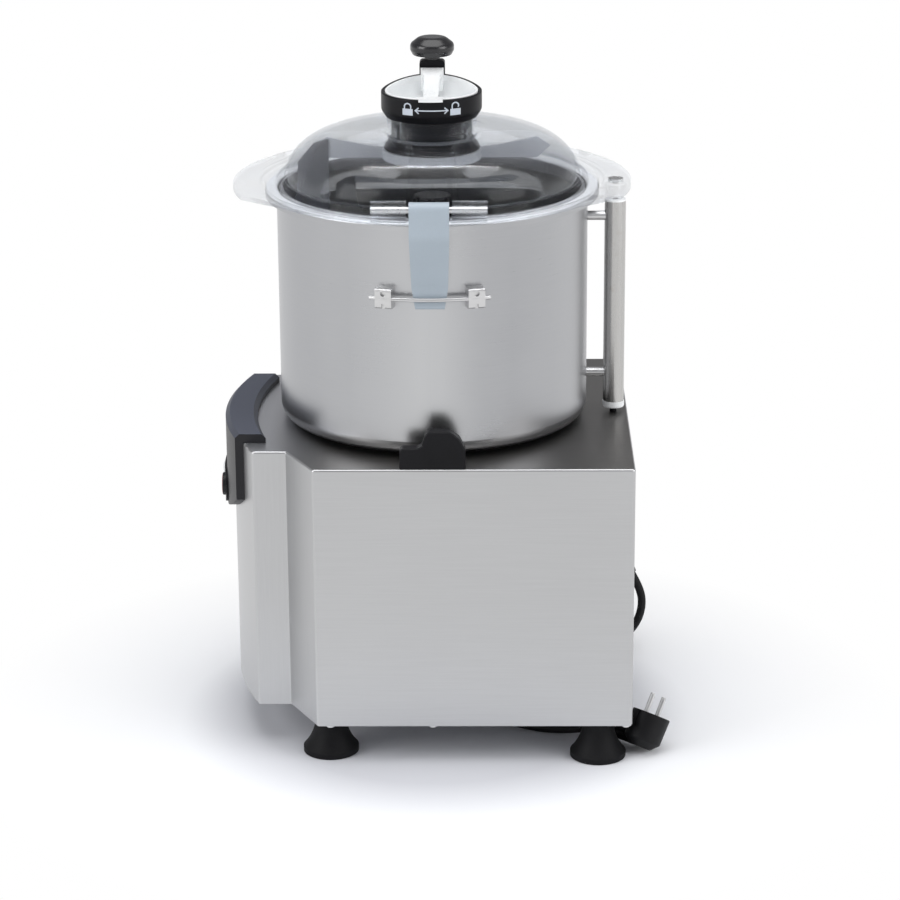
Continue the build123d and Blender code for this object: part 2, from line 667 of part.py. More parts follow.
def keeper_brackets():
    """Two folded brackets welded to the bowl's wall, bored for the keeper bar and slit to grip it."""
    brackets = []
    for side in (-1, 1):
        angle = side * math.degrees(math.asin(BRACKET_Y / KEEPER_RADIUS))
        low = (BOWL_INSIDE, -BRACKET_WIDTH / 2, KEEPER_Z - BRACKET_HEIGHT / 2)
        high = (BOWL_RADIUS + BRACKET_DEPTH, BRACKET_WIDTH / 2, KEEPER_Z + BRACKET_HEIGHT / 2)
        block = box(low, high)
        block = fillet(block.edges().filter_by(Axis.Y).sort_by(Axis.X)[-2:], 2 * SHEET)
        face_x = BOWL_RADIUS + BRACKET_DEPTH
        hole = Pos(face_x, 0, KEEPER_Z + BRACKET_HEIGHT / 4) * Rot(0, 90, 0) * Cylinder(BRACKET_HOLE, 2 * BRACKET_HOLE)
        slit = box((KEEPER_RADIUS, -BRACKET_WIDTH, KEEPER_Z - BRACKET_HEIGHT), (face_x, BRACKET_WIDTH,
                   KEEPER_Z - BRACKET_HEIGHT / 4))
        slit &= box((0, -BRACKET_SLIT / 2, 0), (2 * face_x, BRACKET_SLIT / 2, RIM))
        block = Rot(0, 0, angle) * (block - hole - slit)
        groove = revolve(Plane.XZ * (Pos(KEEPER_RADIUS, KEEPER_Z) * Circle(KEEPER_ROD)), Axis.Z)
        brackets.append(block - disc(BOWL_RADIUS, BOWL_BOTTOM, RIM) - groove)
    return group(brackets)


def push_rod():
    """Rod inside the handle that works the switch under the top plate."""
    bottom = TOP + AIR
    return Pos(0, HANDLE_Y, 0) * disc(ROD_RADIUS, bottom, bottom + ROD_LENGTH)


# ------------------------------------------------------------------ knives
def flatted_bore(clearance):
    """Plan section of the shaft's flatted head, grown by clearance."""
    return Circle(SHAFT_RADIUS + clearance) & Rectangle(2 * (SHAFT_FLAT + clearance), 4 * SHAFT_RADIUS)


def knife_hub():
    """Tapered hub over the chimney with a flatted socket for the shaft's head."""
    bottom = BOWL_FLOOR + CHIMNEY_FILLET / 2
    head = SHAFT_SHOULDER + AIR
    section = [
        (KNIFE_HUB_BORE, bottom, 0),
        (KNIFE_HUB_RADIUS, bottom, SHEET),
        (KNIFE_HUB_RADIUS, BOWL_FLOOR + UPPER_BLADE_RISE + 2 * BLADE_ROOT / 4, BLADE_ROOT / 4),
        (KNIFE_HUB_TOP_RADIUS, CHIMNEY_TOP, SHEET),
        (KNIFE_HUB_TOP_RADIUS, head + KNIFE_HEAD, 2 * SHEET),
        (0, head + KNIFE_HEAD, 0),
        (0, head, 0),
        (KNIFE_HUB_BORE, head, 0),
    ]
    hub = turned(section) - prism(flatted_bore(RUNNING), head, SHAFT_TOP + AIR)
    return hub - blade_seats()


def blade_outline(tip):
    """Plan outline of a sickle blade: a root ring and a blade swept back towards its tip."""
    ring = Circle(BLADE_ROOT)
    tip_angle = math.radians(-62)
    end = Vector(tip * math.cos(tip_angle), tip * math.sin(tip_angle))
    front = ThreePointArc((0, BLADE_ROOT), (tip * 0.86, BLADE_ROOT * 0.28), end)
    back = ThreePointArc(end, (tip * 0.52, -BLADE_ROOT * 0.55), (0, -BLADE_ROOT * 0.6))
    blade = make_face([front, back, Line((0, -BLADE_ROOT * 0.6), (0, BLADE_ROOT))])
    return ring + (blade & Circle(tip))


def blade(tip, rise):
    """Two opposite sickle blades on one root ring, ground to an edge along the outer side."""
    level = BOWL_FLOOR + rise
    outline = blade_outline(tip)
    plate = prism(outline, level, level + BLADE_THICKNESS)
    plate += Rot(0, 0, 180) * plate
    return plate - disc(KNIFE_HUB_RADIUS - 2 * SHEET, level, level + BLADE_THICKNESS)


def blade_seats():
    """Grooves round the hub that the blades' root rings sit in."""
    seats = []
    for rise in (LOWER_BLADE_RISE, UPPER_BLADE_RISE):
        level = BOWL_FLOOR + rise
        seats.append(disc(BLADE_ROOT, level, level + BLADE_THICKNESS, KNIFE_HUB_RADIUS - 2 * SHEET))
    return seats[0] + seats[1]


def knife_knob():
    """Fluted knob on top of the knife hub, for lifting it out."""
    bottom = SHAFT_SHOULDER + AIR + KNIFE_HEAD
    top = bottom + KNIFE_KNOB_HEIGHT
    waist = 0.72 * KNIFE_KNOB_RADIUS
    section = [
        (0, bottom, 0),
        (waist, bottom, SHEET),
        (waist, bottom + KNIFE_KNOB_HEIGHT / 3, 2 * SHEET),
        (KNIFE_KNOB_RADIUS, bottom + KNIFE_KNOB_HEIGHT / 2, 2 * SHEET),
        (KNIFE_KNOB_RADIUS, top, 2 * SHEET),
        (0, top, 0),
    ]
    knob = turned(section)
    flute = Pos(1.12 * KNIFE_KNOB_RADIUS, 0, 0) * disc(0.22 * KNIFE_KNOB_RADIUS, bottom + KNIFE_KNOB_HEIGHT / 4, top)
    for turn in around(KNIFE_KNOB_FLUTES):
        knob -= turn * flute
    return knob


# ------------------------------------------------------------------ lid body
def grip_outline():
    """Plan outline of the wide flange: round, with its near side cut back at both ends."""
    end_y = math.sqrt(GRIP_RADIUS**2 - GRIP_END_X**2)
    cut_y = math.sqrt(LID_RADIUS**2 - GRIP_CUT_X**2)
    near = Polygon(
        (GRIP_END_X, end_y), (GRIP_CUT_X, cut_y), (GRIP_RADIUS, cut_y), (GRIP_RADIUS, GRIP_RADIUS),
        (GRIP_END_X, GRIP_RADIUS), align=None,
    )
    middle = Pos(GRIP_CUT_X, -cut_y) * Rectangle(GRIP_RADIUS, 2 * cut_y, align=(Align.MIN, Align.MIN))
    return Circle(GRIP_RADIUS) - near - mirror(near, Plane.XZ) - middle


def dome_height(radius, inset):
    """Height of the dome at a radius, moved in by inset: flat in the middle, an ellipse at the shoulder."""
    run = max(radius - DOME_FLAT, 0) / (DOME_RADIUS - DOME_FLAT - inset)
    return LID + DOME_BASE + (DOME_RISE - inset) * math.sqrt(1 - run**2)


def dome_arc(inset):
    """The dome's elliptical shoulder in section, from its foot up to the flat."""
    centre = (DOME_FLAT, LID + DOME_BASE)
    return EllipticalCenterArc(centre, DOME_RADIUS - DOME_FLAT - inset, DOME_RISE - inset, 0, arc_size=90)


def hinge_lug():
    """Clear lug on the flange that holds one end of the hinge pin."""
    length = PIN_HALF_LENGTH - LUG_INNER_Y
    foot_top = LID + LID_WALL
    barrel = Pos(HINGE_X, HINGE_Z) * Circle(LUG_RADIUS)
    tangent = Vector(HINGE_X, HINGE_Z) + LUG_RADIUS * Vector(math.cos(math.radians(140)), math.sin(math.radians(140)))
    web = make_face(Polyline((LUG_FOOT_X, foot_top), (tangent.X, tangent.Y), (HINGE_X, HINGE_Z),
                             (HINGE_X + LUG_RADIUS, HINGE_Z), (HINGE_X + LUG_RADIUS / 2, foot_top),
                             (LUG_FOOT_X, foot_top)))
    return side_prism(barrel + web, LUG_INNER_Y + length / 2, length)


def lid_dome():
    """Clear lid in one moulding: seal skirt, stepped rim, dome, neck, grip flange and hinge lugs."""
    pad_top = LID + PAD_HEIGHT
    skirt_out = SEAL_INNER
    skirt_in = SEAL_INNER - LID_WALL
    outer_arc = dome_arc(0)
    inner_arc = dome_arc(LID_WALL)
    up = Polyline(
        inner_arc @ 0,
        (skirt_in - LID_WALL, LID - SKIRT_DEPTH + LID_WALL),
        (skirt_in, LID - SKIRT_DEPTH),
        (skirt_out, LID - SKIRT_DEPTH),
        (skirt_out, LID),
        (LID_RADIUS, LID),
        (LID_RADIUS, LID + LID_RIM_HEIGHT),
        (LID_RADIUS - LID_RIM_WIDTH, LID + LID_RIM_HEIGHT),
        (LID_RADIUS - LID_RIM_WIDTH - SHEET, LID + LID_WALL),
        (STEP_RADIUS + SHEET, LID + LID_WALL),
        (STEP_RADIUS, LID + STEP_HEIGHT),
        (STEP_RADIUS - LID_RIM_WIDTH, LID + STEP_HEIGHT + 1),
        outer_arc @ 0,
    )
    neck = Polyline(
        outer_arc @ 1,
        (PAD_RADIUS, dome_height(PAD_RADIUS, 0)),
        (PAD_RADIUS, pad_top),
        (NECK_RADIUS, pad_top),
        (NECK_RADIUS, NECK_END),
        (NECK_BORE, NECK_END),
        (NECK_BORE, LID + NECK_BOTTOM),
        (NECK_RADIUS, LID + NECK_BOTTOM),
        (NECK_RADIUS, dome_height(NECK_RADIUS, LID_WALL)),
        inner_arc @ 1,
    )
    shell = revolve(Plane.XZ * make_face([up, outer_arc, neck, inner_arc]), Axis.Z)
    grip = prism(grip_outline(), LID, LID + GRIP_THICKNESS) - disc(LID_RADIUS - SHEET, LID, LID + GRIP_THICKNESS)
    lug = hinge_lug()
    lid = shell + grip + lug + mirror(lug, Plane.XZ)
    lid -= box((NOTCH_X, -NOTCH_HALF_WIDTH, LID - AIR), (GRIP_RADIUS, NOTCH_HALF_WIDTH, HINGE_Z))
    lid -= Pos(HINGE_X, 0, HINGE_Z) * Rot(90, 0, 0) * Cylinder(PIN_RADIUS + RUNNING, 3 * PIN_HALF_LENGTH)
    pocket_bottom = LID + GRIP_THICKNESS - MAGNET_DEPTH
    return lid - Pos(0, HANDLE_Y, 0) * disc(MAGNET_RADIUS + RUNNING, pocket_bottom, LID + 2 * GRIP_THICKNESS)


def lid_seal():
    """Ribbed rubber ring on the lid's skirt."""
    bottom = LID - SKIRT_DEPTH
    ribs = 3
    pitch = (SKIRT_DEPTH - AIR) / ribs
    section = [(SEAL_INNER, bottom, 0)]
    for index in range(ribs):
        section.append((SEAL_OUTER, bottom + (index + 0.25) * pitch, 0))
        section.append((SEAL_OUTER, bottom + (index + 0.6) * pitch, 0))
        section.append((SEAL_OUTER - pitch / 3, bottom + (index + 1) * pitch, 0))
    section.append((SEAL_INNER, bottom + ribs * pitch, 0))
    return turned(section)


def lid_magnet():
    """Magnet let into the flange above the push rod."""
    bottom = LID + GRIP_THICKNESS - MAGNET_DEPTH
    return Pos(0, HANDLE_Y, 0) * disc(MAGNET_RADIUS, bottom, LID + GRIP_THICKNESS)


def hinge_pin():
    """Steel pin through the lugs and the arm."""
    return Pos(HINGE_X, 0, HINGE_Z) * Rot(90, 0, 0) * Cylinder(PIN_RADIUS, 2 * PIN_HALF_LENGTH)


def hinge_arm():
    """Moulded arm that hangs from the pin and slots down behind the keeper bar."""
    outer_top = HINGE_X + ARM_RADIUS
    inner_low = BOWL_RADIUS + ARM_WALL_GAP
    outer_low = inner_low + ARM_THICKNESS
    bend_z = HINGE_Z - ARM_BEND_DROP
    slant_z = HINGE_Z - ARM_SLANT_DROP
    tip_z = HINGE_Z - ARM_TIP_DROP
    strap = rounded_face([
        (outer_top, HINGE_Z, 0),
        (outer_top - ARM_THICKNESS, HINGE_Z, 0),
        (outer_top - ARM_THICKNESS, bend_z, 4 * ARM_THICKNESS),
        (inner_low, slant_z, 4 * ARM_THICKNESS),
        (inner_low, tip_z, 0),
        (outer_low, tip_z, ARM_THICKNESS / 2),
        (outer_low, slant_z, 5 * ARM_THICKNESS),
        (outer_top, bend_z, 5 * ARM_THICKNESS),
    ])
    half_top, half, half_tip = ARM_TOP_WIDTH / 2, ARM_WIDTH / 2, ARM_TIP_WIDTH / 2
    front = make_face(Polyline(
        (half_top, HINGE_Z + ARM_RADIUS), (half_top, bend_z), (half, slant_z), (half_tip, tip_z),
        (-half_tip, tip_z), (-half, slant_z), (-half_top, bend_z), (-half_top, HINGE_Z + ARM_RADIUS),
        (half_top, HINGE_Z + ARM_RADIUS),
    ))
    barrel = side_prism(Pos(HINGE_X, HINGE_Z) * Circle(ARM_RADIUS), 0, ARM_TOP_WIDTH)
    arm = barrel + (side_prism(strap, 0, ARM_TOP_WIDTH) & extrude(Plane.YZ * front, 2 * HINGE_X))
    return arm - Pos(HINGE_X, 0, HINGE_Z) * Rot(90, 0, 0) * Cylinder(PIN_RADIUS + RUNNING, 2 * ARM_TOP_WIDTH)


# ------------------------------------------------------------------ scraper body
def hub_levels():
    """Heights of the scraper hub's cone foot, cone top and sleeve top."""
    cone_top = LID + NECK_BOTTOM - AIR
    return cone_top - CONE_HEIGHT, cone_top, NECK_END + AIR


def scraper_hub():
    """Black sleeve through the lid's neck with a cone below it."""
    foot_z, cone_top, top = hub_levels()
    sleeve = NECK_BORE - RUNNING
    bore = NECK_BORE - HUB_WALL
    return turned([
        (bore, foot_z, 0),
        (CONE_RADIUS, foot_z, SHEET),
        (CONE_TOP_RADIUS, cone_top, 0),
        (sleeve, cone_top, 0),
        (sleeve, top, 0),
        (bore, top, 0),
    ])


def scraper_arm():
    """Grey ring under the cone with two wings that follow the inside of the dome."""
    foot_z, _, _ = hub_levels()
    low = foot_z - ARM_RING_HEIGHT
    bore = NECK_BORE - HUB_WALL
    tip_z = dome_height(WING_TIP_Y, LID_WALL + WING_CLEARANCE)
    end_z = dome_height(WING_END_Y, LID_WALL + WING_CLEARANCE) - LID_WALL
    sag = ThreePointArc((-WING_TIP_Y, tip_z), (0, foot_z - SHEET), (WING_TIP_Y, tip_z))
    rest = Polyline(
        (WING_TIP_Y, tip_z), (WING_END_Y, end_z), (WING_TIP_Y, low), (-WING_TIP_Y, low),
        (-WING_END_Y, end_z), (-WING_TIP_Y, tip_z),
    )
    wings = Pos(-WING_THICKNESS / 2, 0, 0) * extrude(Plane.YZ * make_face([sag, rest]), WING_THICKNESS)
    wings -= disc(CONE_RADIUS, low, RIM + DOME_RISE, 0)
    ring = disc(CONE_RADIUS, low, foot_z, bore)
    return ring + wings


def wall_scraper():
    """Dark paddle on the end of one wing, down beside the bowl's wall."""
    foot_z, _, _ = hub_levels()
    low = foot_z - ARM_RING_HEIGHT
    top_z = dome_height(WING_TIP_Y, LID_WALL + WING_CLEARANCE) - SHEET
    end_z = dome_height(WING_END_Y, LID_WALL + WING_CLEARANCE) - SHEET
    neck_z = dome_height(PADDLE_TOP_Y, LID_WALL + WING_CLEARANCE) - 2 * LID_WALL
    bottom = RIM - PADDLE_BOTTOM
    outline = rounded_face([
        (-PADDLE_INNER_Y, top_z, 0),
        (-WING_TIP_Y, top_z, 0),
        (-WING_END_Y, end_z, 0),
        (-PADDLE_TOP_Y, neck_z, 2),
        (-PADDLE_TOP_Y - 2, LID - SKIRT_DEPTH, 2),
        (-PADDLE_RADIUS, LID - 3 * SKIRT_DEPTH, 4),
        (-PADDLE_RADIUS, bottom, 4),
        (-PADDLE_INNER_Y, bottom + 2 * SKIRT_DEPTH, 8),
    ])
    paddle = Pos(-WING_THICKNESS / 2 - SHEET, 0, 0) * extrude(Plane.YZ * outline, WING_THICKNESS + 2 * SHEET)
    return paddle - wing_slot(low)


def wing_slot(low):
    """Room in the paddle for the wing it is pushed over."""
    slot = scraper_arm()
    grown = slot.bounding_box()
    return slot & box((grown.min.X, grown.min.Y, low), (grown.max.X, 0, grown.max.Z))


def ring_top():
    """Height of the crank ring's rim."""
    return hub_levels()[2] + RING_HEIGHT


def crank_ring():
    """Black ring turned by hand above the neck, with the post that carries the knob."""
    foot_z = hub_levels()[2]
    bore = NECK_BORE - HUB_WALL
    section = [
        (bore, foot_z, 0),
        (RING_FOOT_RADIUS, foot_z, 2),
        (RING_RADIUS, foot_z + RING_SHOULDER, RING_CORNER),
        (RING_RADIUS, ring_top(), 1.2),
        (RING_INNER, ring_top(), 1.2),
        (RING_INNER, foot_z + RING_FLOOR, 0),
        (bore, foot_z + RING_FLOOR, 0),
    ]
    ring = turned(section)
    inner_x = -POST_X + POST_DEPTH / 2 - RUNNING
    outer_x = inner_x - POST_DEPTH
    top = foot_z + POST_HEIGHT
    side = rounded_face([
        (inner_x, foot_z + RING_SHOULDER, 0),
        (inner_x, top, 0),
        (outer_x, top, POST_CORNER),
        (outer_x, foot_z + RING_HEIGHT, 2 * POST_CORNER),
        (outer_x + POST_DEPTH / 2, foot_z + RING_SHOULDER, 0),
    ])
    half = POST_WIDTH / 2
    front = rounded_face([(half, foot_z, 0), (half, top, POST_CORNER), (-half, top, POST_CORNER), (-half, foot_z, 0)])
    post = side_prism(side, 0, POST_WIDTH) & (Pos(-2 * POST_X, 0, 0) * extrude(Plane.YZ * front, 2 * POST_X))
    ring += post - disc(RING_INNER, foot_z, top)
    return ring - Pos(-POST_X, 0, 0) * disc(KNOB_STEM + RUNNING, top - KNOB_STEM_DEPTH, top)


def crank_knob():
    """Mushroom knob that spins on the post."""
    top = hub_levels()[2] + POST_HEIGHT
    head = top + KNOB_NECK_HEIGHT
    section = [
        (0, top - KNOB_STEM_DEPTH + AIR, 0),
        (KNOB_STEM, top - KNOB_STEM_DEPTH + AIR, 0),
        (KNOB_STEM, top + AIR, 0),
        (KNOB_NECK, top + AIR, 0),
        (KNOB_NECK, head, 1),
        (0.88 * KNOB_RADIUS, head, 2),
        (KNOB_RADIUS, head + 0.28 * KNOB_HEIGHT, 3),
        (KNOB_RADIUS, head + 0.62 * KNOB_HEIGHT, 5),
        (0.6 * KNOB_RADIUS, head + KNOB_HEIGHT, 9),
        (0, head + KNOB_HEIGHT, 0),
    ]
    return Pos(-POST_X, 0, 0) * turned(section)


def filler_cap():
    """White cup that drops into the crank ring, with a tab over the rim and a bridge to lift it by."""
    bottom = hub_levels()[2] + RING_FLOOR + AIR
    rim = bottom + CAP_DEPTH
    radius = RING_INNER - CAP_CLEARANCE
    cup = turned([
        (0, bottom, 0), (radius, bottom, CAP_WALL), (radius, rim, CAP_WALL / 3),
        (radius - CAP_WALL, rim, CAP_WALL / 3), (radius - CAP_WALL, bottom + CAP_WALL, CAP_WALL / 2),
        (0, bottom + CAP_WALL, 0),
    ])
    tab_low = ring_top() + AIR
    hook = RING_RADIUS + AIR + CAP_WALL
    tab = disc(hook, tab_low, tab_low + CAP_WALL, radius - CAP_WALL)
    tab += disc(hook, tab_low + CAP_WALL - CAP_TAB_DROP, tab_low + CAP_WALL, RING_RADIUS + AIR)
    tab &= box((0, -CAP_TAB_WIDTH / 2, bottom), (2 * hook, CAP_TAB_WIDTH / 2, tab_low + 2 * CAP_WALL))
    reach = radius - CAP_WALL / 2
    bridge_top = rim + BRIDGE_RISE
    side = rounded_face([
        (-reach, bottom + CAP_DEPTH / 2, 0), (-reach, bridge_top, CAP_WALL), (0, rim + 0.42 * BRIDGE_RISE, 60),
        (reach, rim, 0), (reach, rim - BRIDGE_THICKNESS, 0), (0, rim + 0.42 * BRIDGE_RISE - BRIDGE_THICKNESS, 50),
        (-0.72 * reach, bridge_top - 1.6 * BRIDGE_THICKNESS, 3), (-0.82 * reach, bottom + CAP_DEPTH / 2, 0),
    ])
    plan = make_face(Polyline(
        (reach, BRIDGE_FRONT_WIDTH / 2), (-0.4 * reach, BRIDGE_FRONT_WIDTH / 2), (-reach, BRIDGE_BACK_WIDTH / 2),
        (-reach, -BRIDGE_BACK_WIDTH / 2), (-0.4 * reach, -BRIDGE_FRONT_WIDTH / 2),
        (reach, -BRIDGE_FRONT_WIDTH / 2), (reach, BRIDGE_FRONT_WIDTH / 2),
    ))
    bridge = side_prism(side, 0, BRIDGE_BACK_WIDTH) & prism(plan, bottom, bridge_top)
    bridge &= disc(radius, bottom, bridge_top)
    return cup + tab + bridge


# ------------------------------------------------------------------ bowl catch
def catch_outline():
    """Side outline of the catch in Y and height above the top plate: a low step and a rounded head."""
    height = CATCH_HEIGHT
    return rounded_face([
        (-28.6, 0, 0), (-28.6, 0.55 * height, 4), (-12.0, 0.55 * height, 5), (-8.0, 0.62 * height, 2),
        (-4.5, height, 7), (18.0, height, 14), (26.5, 0.80 * height, 7), (31.6, 0.5 * height, 3), (31.6, 0, 0),
    ])


def bowl_catch():
    """Black moulded catch that swings on an upright pin and holds the bowl's foot."""
    face = Pos(0, TOP + AIR) * catch_outline()
    catch = Pos(CATCH_X - CATCH_THICKNESS / 2, 0, 0) * extrude(Plane.YZ * face, CATCH_THICKNESS)
    top_edges = catch.faces().filter_by(Plane.YZ).sort_by(Axis.X)[-1].edges().filter_by(
        lambda edge: edge.center().Z > TOP + CATCH_HEIGHT / 3)
    catch = chamfer(top_edges, 1.0)
    bore = Pos(CATCH_X, -CATCH_PIVOT_Y, 0) * disc(CATCH_PIN_RADIUS + RUNNING, TOP, TOP + 0.4 * CATCH_HEIGHT)
    return catch - bore


def catch_pivot_pin():
    """Upright pin riveted in the top plate for the catch."""
    pin = disc(CATCH_PIN_RADIUS, PLATE_UNDERSIDE, TOP + 0.4 * CATCH_HEIGHT - AIR)
    pin += disc(1.5 * CATCH_PIN_RADIUS, PLATE_UNDERSIDE - SHEET, PLATE_UNDERSIDE)
    return Pos(CATCH_X, -CATCH_PIVOT_Y, 0) * pin


# ------------------------------------------------------------------ control panel
def front_radius():
    """Radius of the housing's curved front."""
    sagitta = FRONT_Y - RECESS_FRONT_Y
    return (RECESS_HALF_WIDTH**2 + sagitta**2) / (2 * sagitta)


def front_centre():
    """Plan Y of the centre of the curved front."""
    return front_radius() - FRONT_Y


def front_band(inner, outer, bottom, top):
    """Curved layer that stands off the housing's front between two distances."""
    radius = front_radius()
    return Pos(0, front_centre(), 0) * disc(radius + outer, bottom, top, radius + inner)


def control_panel():
    """Black moulded cap: a slab on the top plate's front edge and an apron down the curved face."""
    low = TOP - PANEL_MIDDLE_DROP
    top = PANEL_TOP
    half = PANEL_HALF_WIDTH
    apron = front_band(0, PANEL_PROUD, low, top)
    apron &= box((-half, -2 * FRONT_Y, low), (half, 0, top))
    side_low = TOP - PANEL_SIDE_DROP
    bottom_edge = ThreePointArc((-half, side_low), (0, low), (half, side_low))
    shape = make_face([bottom_edge, Polyline((half, side_low), (half, top), (-half, top), (-half, side_low))])
    apron &= extrude(Plane.XZ * shape, 2 * FRONT_Y)
    inner_arc = ThreePointArc((-half, -PANEL_INNER_SIDE_Y), (0, -PANEL_INNER_Y), (half, -PANEL_INNER_SIDE_Y))
    plan = make_face([inner_arc, Polyline((half, -PANEL_INNER_SIDE_Y), (half, -2 * FRONT_Y), (-half, -2 * FRONT_Y),
                                          (-half, -PANEL_INNER_SIDE_Y))])
    slab = prism(plan, TOP, top) & (Pos(0, front_centre(), 0) * disc(front_radius() + PANEL_PROUD, TOP, top))
    panel = apron + slab
    rim = panel.edges().filter_by(lambda edge: edge.center().Z > top - 1e-3 and edge.length > half)
    panel = chamfer(rim, PANEL_CHAMFER)
    for pocket in (keypad_solid(), *(button_hole(x) for x in button_places())):
        panel -= pocket
    return panel - housing_front_edge()


def housing_front_edge():
    """The housing's rounded front edge, which the cap sits over."""
    return prism(housing_outline(0, 0), TOP - PANEL_MIDDLE_DROP, TOP)


def keypad_solid():
    """Blue-grey key plate set in the apron."""
    drop = TOP - KEYPAD_DROP
    outline = Pos(0, drop) * SlotOverall(2 * KEYPAD_HALF_LENGTH, 2 * KEYPAD_HALF_HEIGHT)
    block = extrude(Plane.XZ * outline, 2 * FRONT_Y)
    return block & front_band(PANEL_PROUD - SHEET, PANEL_PROUD + KEYPAD_PROUD, drop - KEYPAD_HALF_HEIGHT,
                              drop + KEYPAD_HALF_HEIGHT)


def button_places():
    """X places of the three push buttons."""
    return (-BUTTON_SPACING, 0.0, BUTTON_SPACING)


def button_face_y(x):
    """Plan Y of the keypad's face at a button."""
    return front_centre() - math.sqrt((front_radius() + PANEL_PROUD + KEYPAD_PROUD) ** 2 - x**2)


def button_hole(x):
    """Round hole for a button's head, and the guide for its stem."""
    level = TOP - KEYPAD_DROP
    face = button_face_y(x)
    head = Pos(x, face, level) * Rot(90, 0, 0) * Cylinder(BUTTON_RADIUS + AIR, 4 * BUTTON_PROUD)
    stem = Pos(x, face, level) * Rot(90, 0, 0) * Cylinder(BUTTON_STEM + RUNNING, 6 * PANEL_PROUD)
    return head + stem


def keypad():
    """Key plate with holes for the buttons."""
    plate = keypad_solid()
    for x in button_places():
        plate -= button_hole(x)
    return plate


def push_button(x):
    """Round push button with a guide stem."""
    level = TOP - KEYPAD_DROP
    face = button_face_y(x)
    seat = face + 2 * BUTTON_PROUD
    head_front = face - BUTTON_PROUD
    head_back = seat - BUTTON_TRAVEL - AIR
    head = Pos(x, (head_front + head_back) / 2, level) * Rot(90, 0, 0) * Cylinder(BUTTON_RADIUS,
                                                                               head_back - head_front)
    head = fillet(head.faces().sort_by(Axis.Y)[0].edges(), BUTTON_PROUD / 2)
    stem_end = seat + SHEET
    stem = Pos(x, (head_back + stem_end) / 2, level) * Rot(90, 0, 0) * Cylinder(BUTTON_STEM, stem_end - head_back)
    return head + stem


# ------------------------------------------------------------------ mains cord
def gland_axis():
    """Direction in which the cord leaves the gland, in Y and Z."""
    return Vector(0, math.cos(math.radians(GLAND_TILT)), -math.sin(math.radians(GLAND_TILT)))


def gland_mouth():
    """Centre of the gland's open end."""
    x, z = GLAND
    return Vector(x, REAR_Y, z) + GLAND_REACH * gland_axis()


def cord_gland():
    """Moulded strain relief on the rear wall, its mouth turned down."""
    x, z = GLAND
    flange = Pos(x, REAR_Y + SHEET, z) * Rot(90, 0, 0) * Cylinder(GLAND_RADIUS, 2 * SHEET)
    bush = Pos(x, REAR_Y - SHEET, z) * Rot(90, 0, 0) * Cylinder(CORD_RADIUS + SHEET, 4 * SHEET)
    boot_length = GLAND_REACH + SHEET
    boot = Plane(gland_mouth(), z_dir=-gland_axis()) * Cone(
        CORD_RADIUS + SHEET, GLAND_RADIUS - SHEET, boot_length, align=(Align.CENTER, Align.CENTER, Align.MIN))
    boot &= box((x - GLAND_RADIUS, REAR_Y, 0), (x + GLAND_RADIUS, REAR_Y + 4 * GLAND_REACH, TOP))
    return flange + bush + boot


def plug_frame():
    """Place of the plug: origin at the middle of its pin face, +Z along the pins, cord outlet towards -Y."""
    x, y = PLUG_FACE
    lean = math.radians(PLUG_LEAN)
    height = PLUG_BACK_RADIUS * math.sin(lean) + PLUG_DEPTH * math.cos(lean)
    return Pos(x, y, height) * Rot(0, 0, PLUG_HEADING) * Rot(0, PLUG_LEAN, 0) * Rot(0, 0, PLUG_TURN)


def plug_outlet():
    """Centre and direction of the plug's cord outlet."""
    frame = plug_frame()
    depth = PLUG_BOOT_RADIUS - PLUG_DEPTH
    start = (frame * Pos(0, 0, depth)).position
    end = (frame * Pos(0, -PLUG_BOOT_LENGTH, depth)).position
    return end, (end - start).normalized()


def plug_body():
    """Angled mains plug: round face, nearly upright side chamfered at the back, and a boot for the cord."""
    depth = PLUG_DEPTH
    section = rounded_face([
        (0, 0, 0),
        (PLUG_RADIUS, 0, 1),
        (PLUG_WAIST, PLUG_BACK_RISE - depth, 3),
        (PLUG_BACK_RADIUS, -depth, 0),
        (0, -depth, 0),
    ])
    body = revolve(Plane.XZ * section, Axis.Z)
    for side in (-1, 1):
        groove = Box(PLUG_RADIUS, PLUG_CLIP_WIDTH, depth)
        body -= Pos(side * (PLUG_RADIUS * 1.5 - PLUG_CLIP_DEPTH), 0, 0) * groove
    boot = Pos(0, 0, PLUG_BOOT_RADIUS - depth) * Rot(90, 0, 0) * Cone(
        PLUG_BACK_RADIUS, PLUG_BOOT_RADIUS, PLUG_BOOT_LENGTH, align=(Align.CENTER, Align.CENTER, Align.MIN))
    boot &= box((-PLUG_RADIUS, -2 * PLUG_BOOT_LENGTH, -depth), (PLUG_RADIUS, 0, 0))
    body += boot
    for side in (-1, 1):
        body -= Pos(side * PLUG_PIN_SPACING / 2, 0, -PLUG_PIN_RADIUS) * Cylinder(PLUG_PIN_RADIUS, 2 * PLUG_PIN_RADIUS)
    return plug_frame() * body


def plug_pins():
    """Two round pins moulded into the plug."""
    length = PLUG_PIN_LENGTH + 2 * PLUG_PIN_RADIUS
    middle = PLUG_PIN_LENGTH - length / 2
    pins = []
    for side in (-1, 1):
        pin = Pos(side * PLUG_PIN_SPACING / 2, 0, middle) * Cylinder(PLUG_PIN_RADIUS, length)
        pins.append(plug_frame() * fillet(pin.faces().sort_by(Axis.Z)[-1].edges(), 0.4 * PLUG_PIN_RADIUS))
    return group(pins)


def coil_stub(angle, level, way):
    """Coil's tangent point at an angle, the running direction there, and the stub's end way along it."""
    turn = math.radians(angle)
    centre = Vector(*COIL_CENTRE, level)
    touch = centre + COIL_OUTER * Vector(math.cos(turn), math.sin(turn), 0)
    along = Vector(-math.sin(turn), math.cos(turn), 0)
    return touch, along, touch + way * COIL_STUB * along


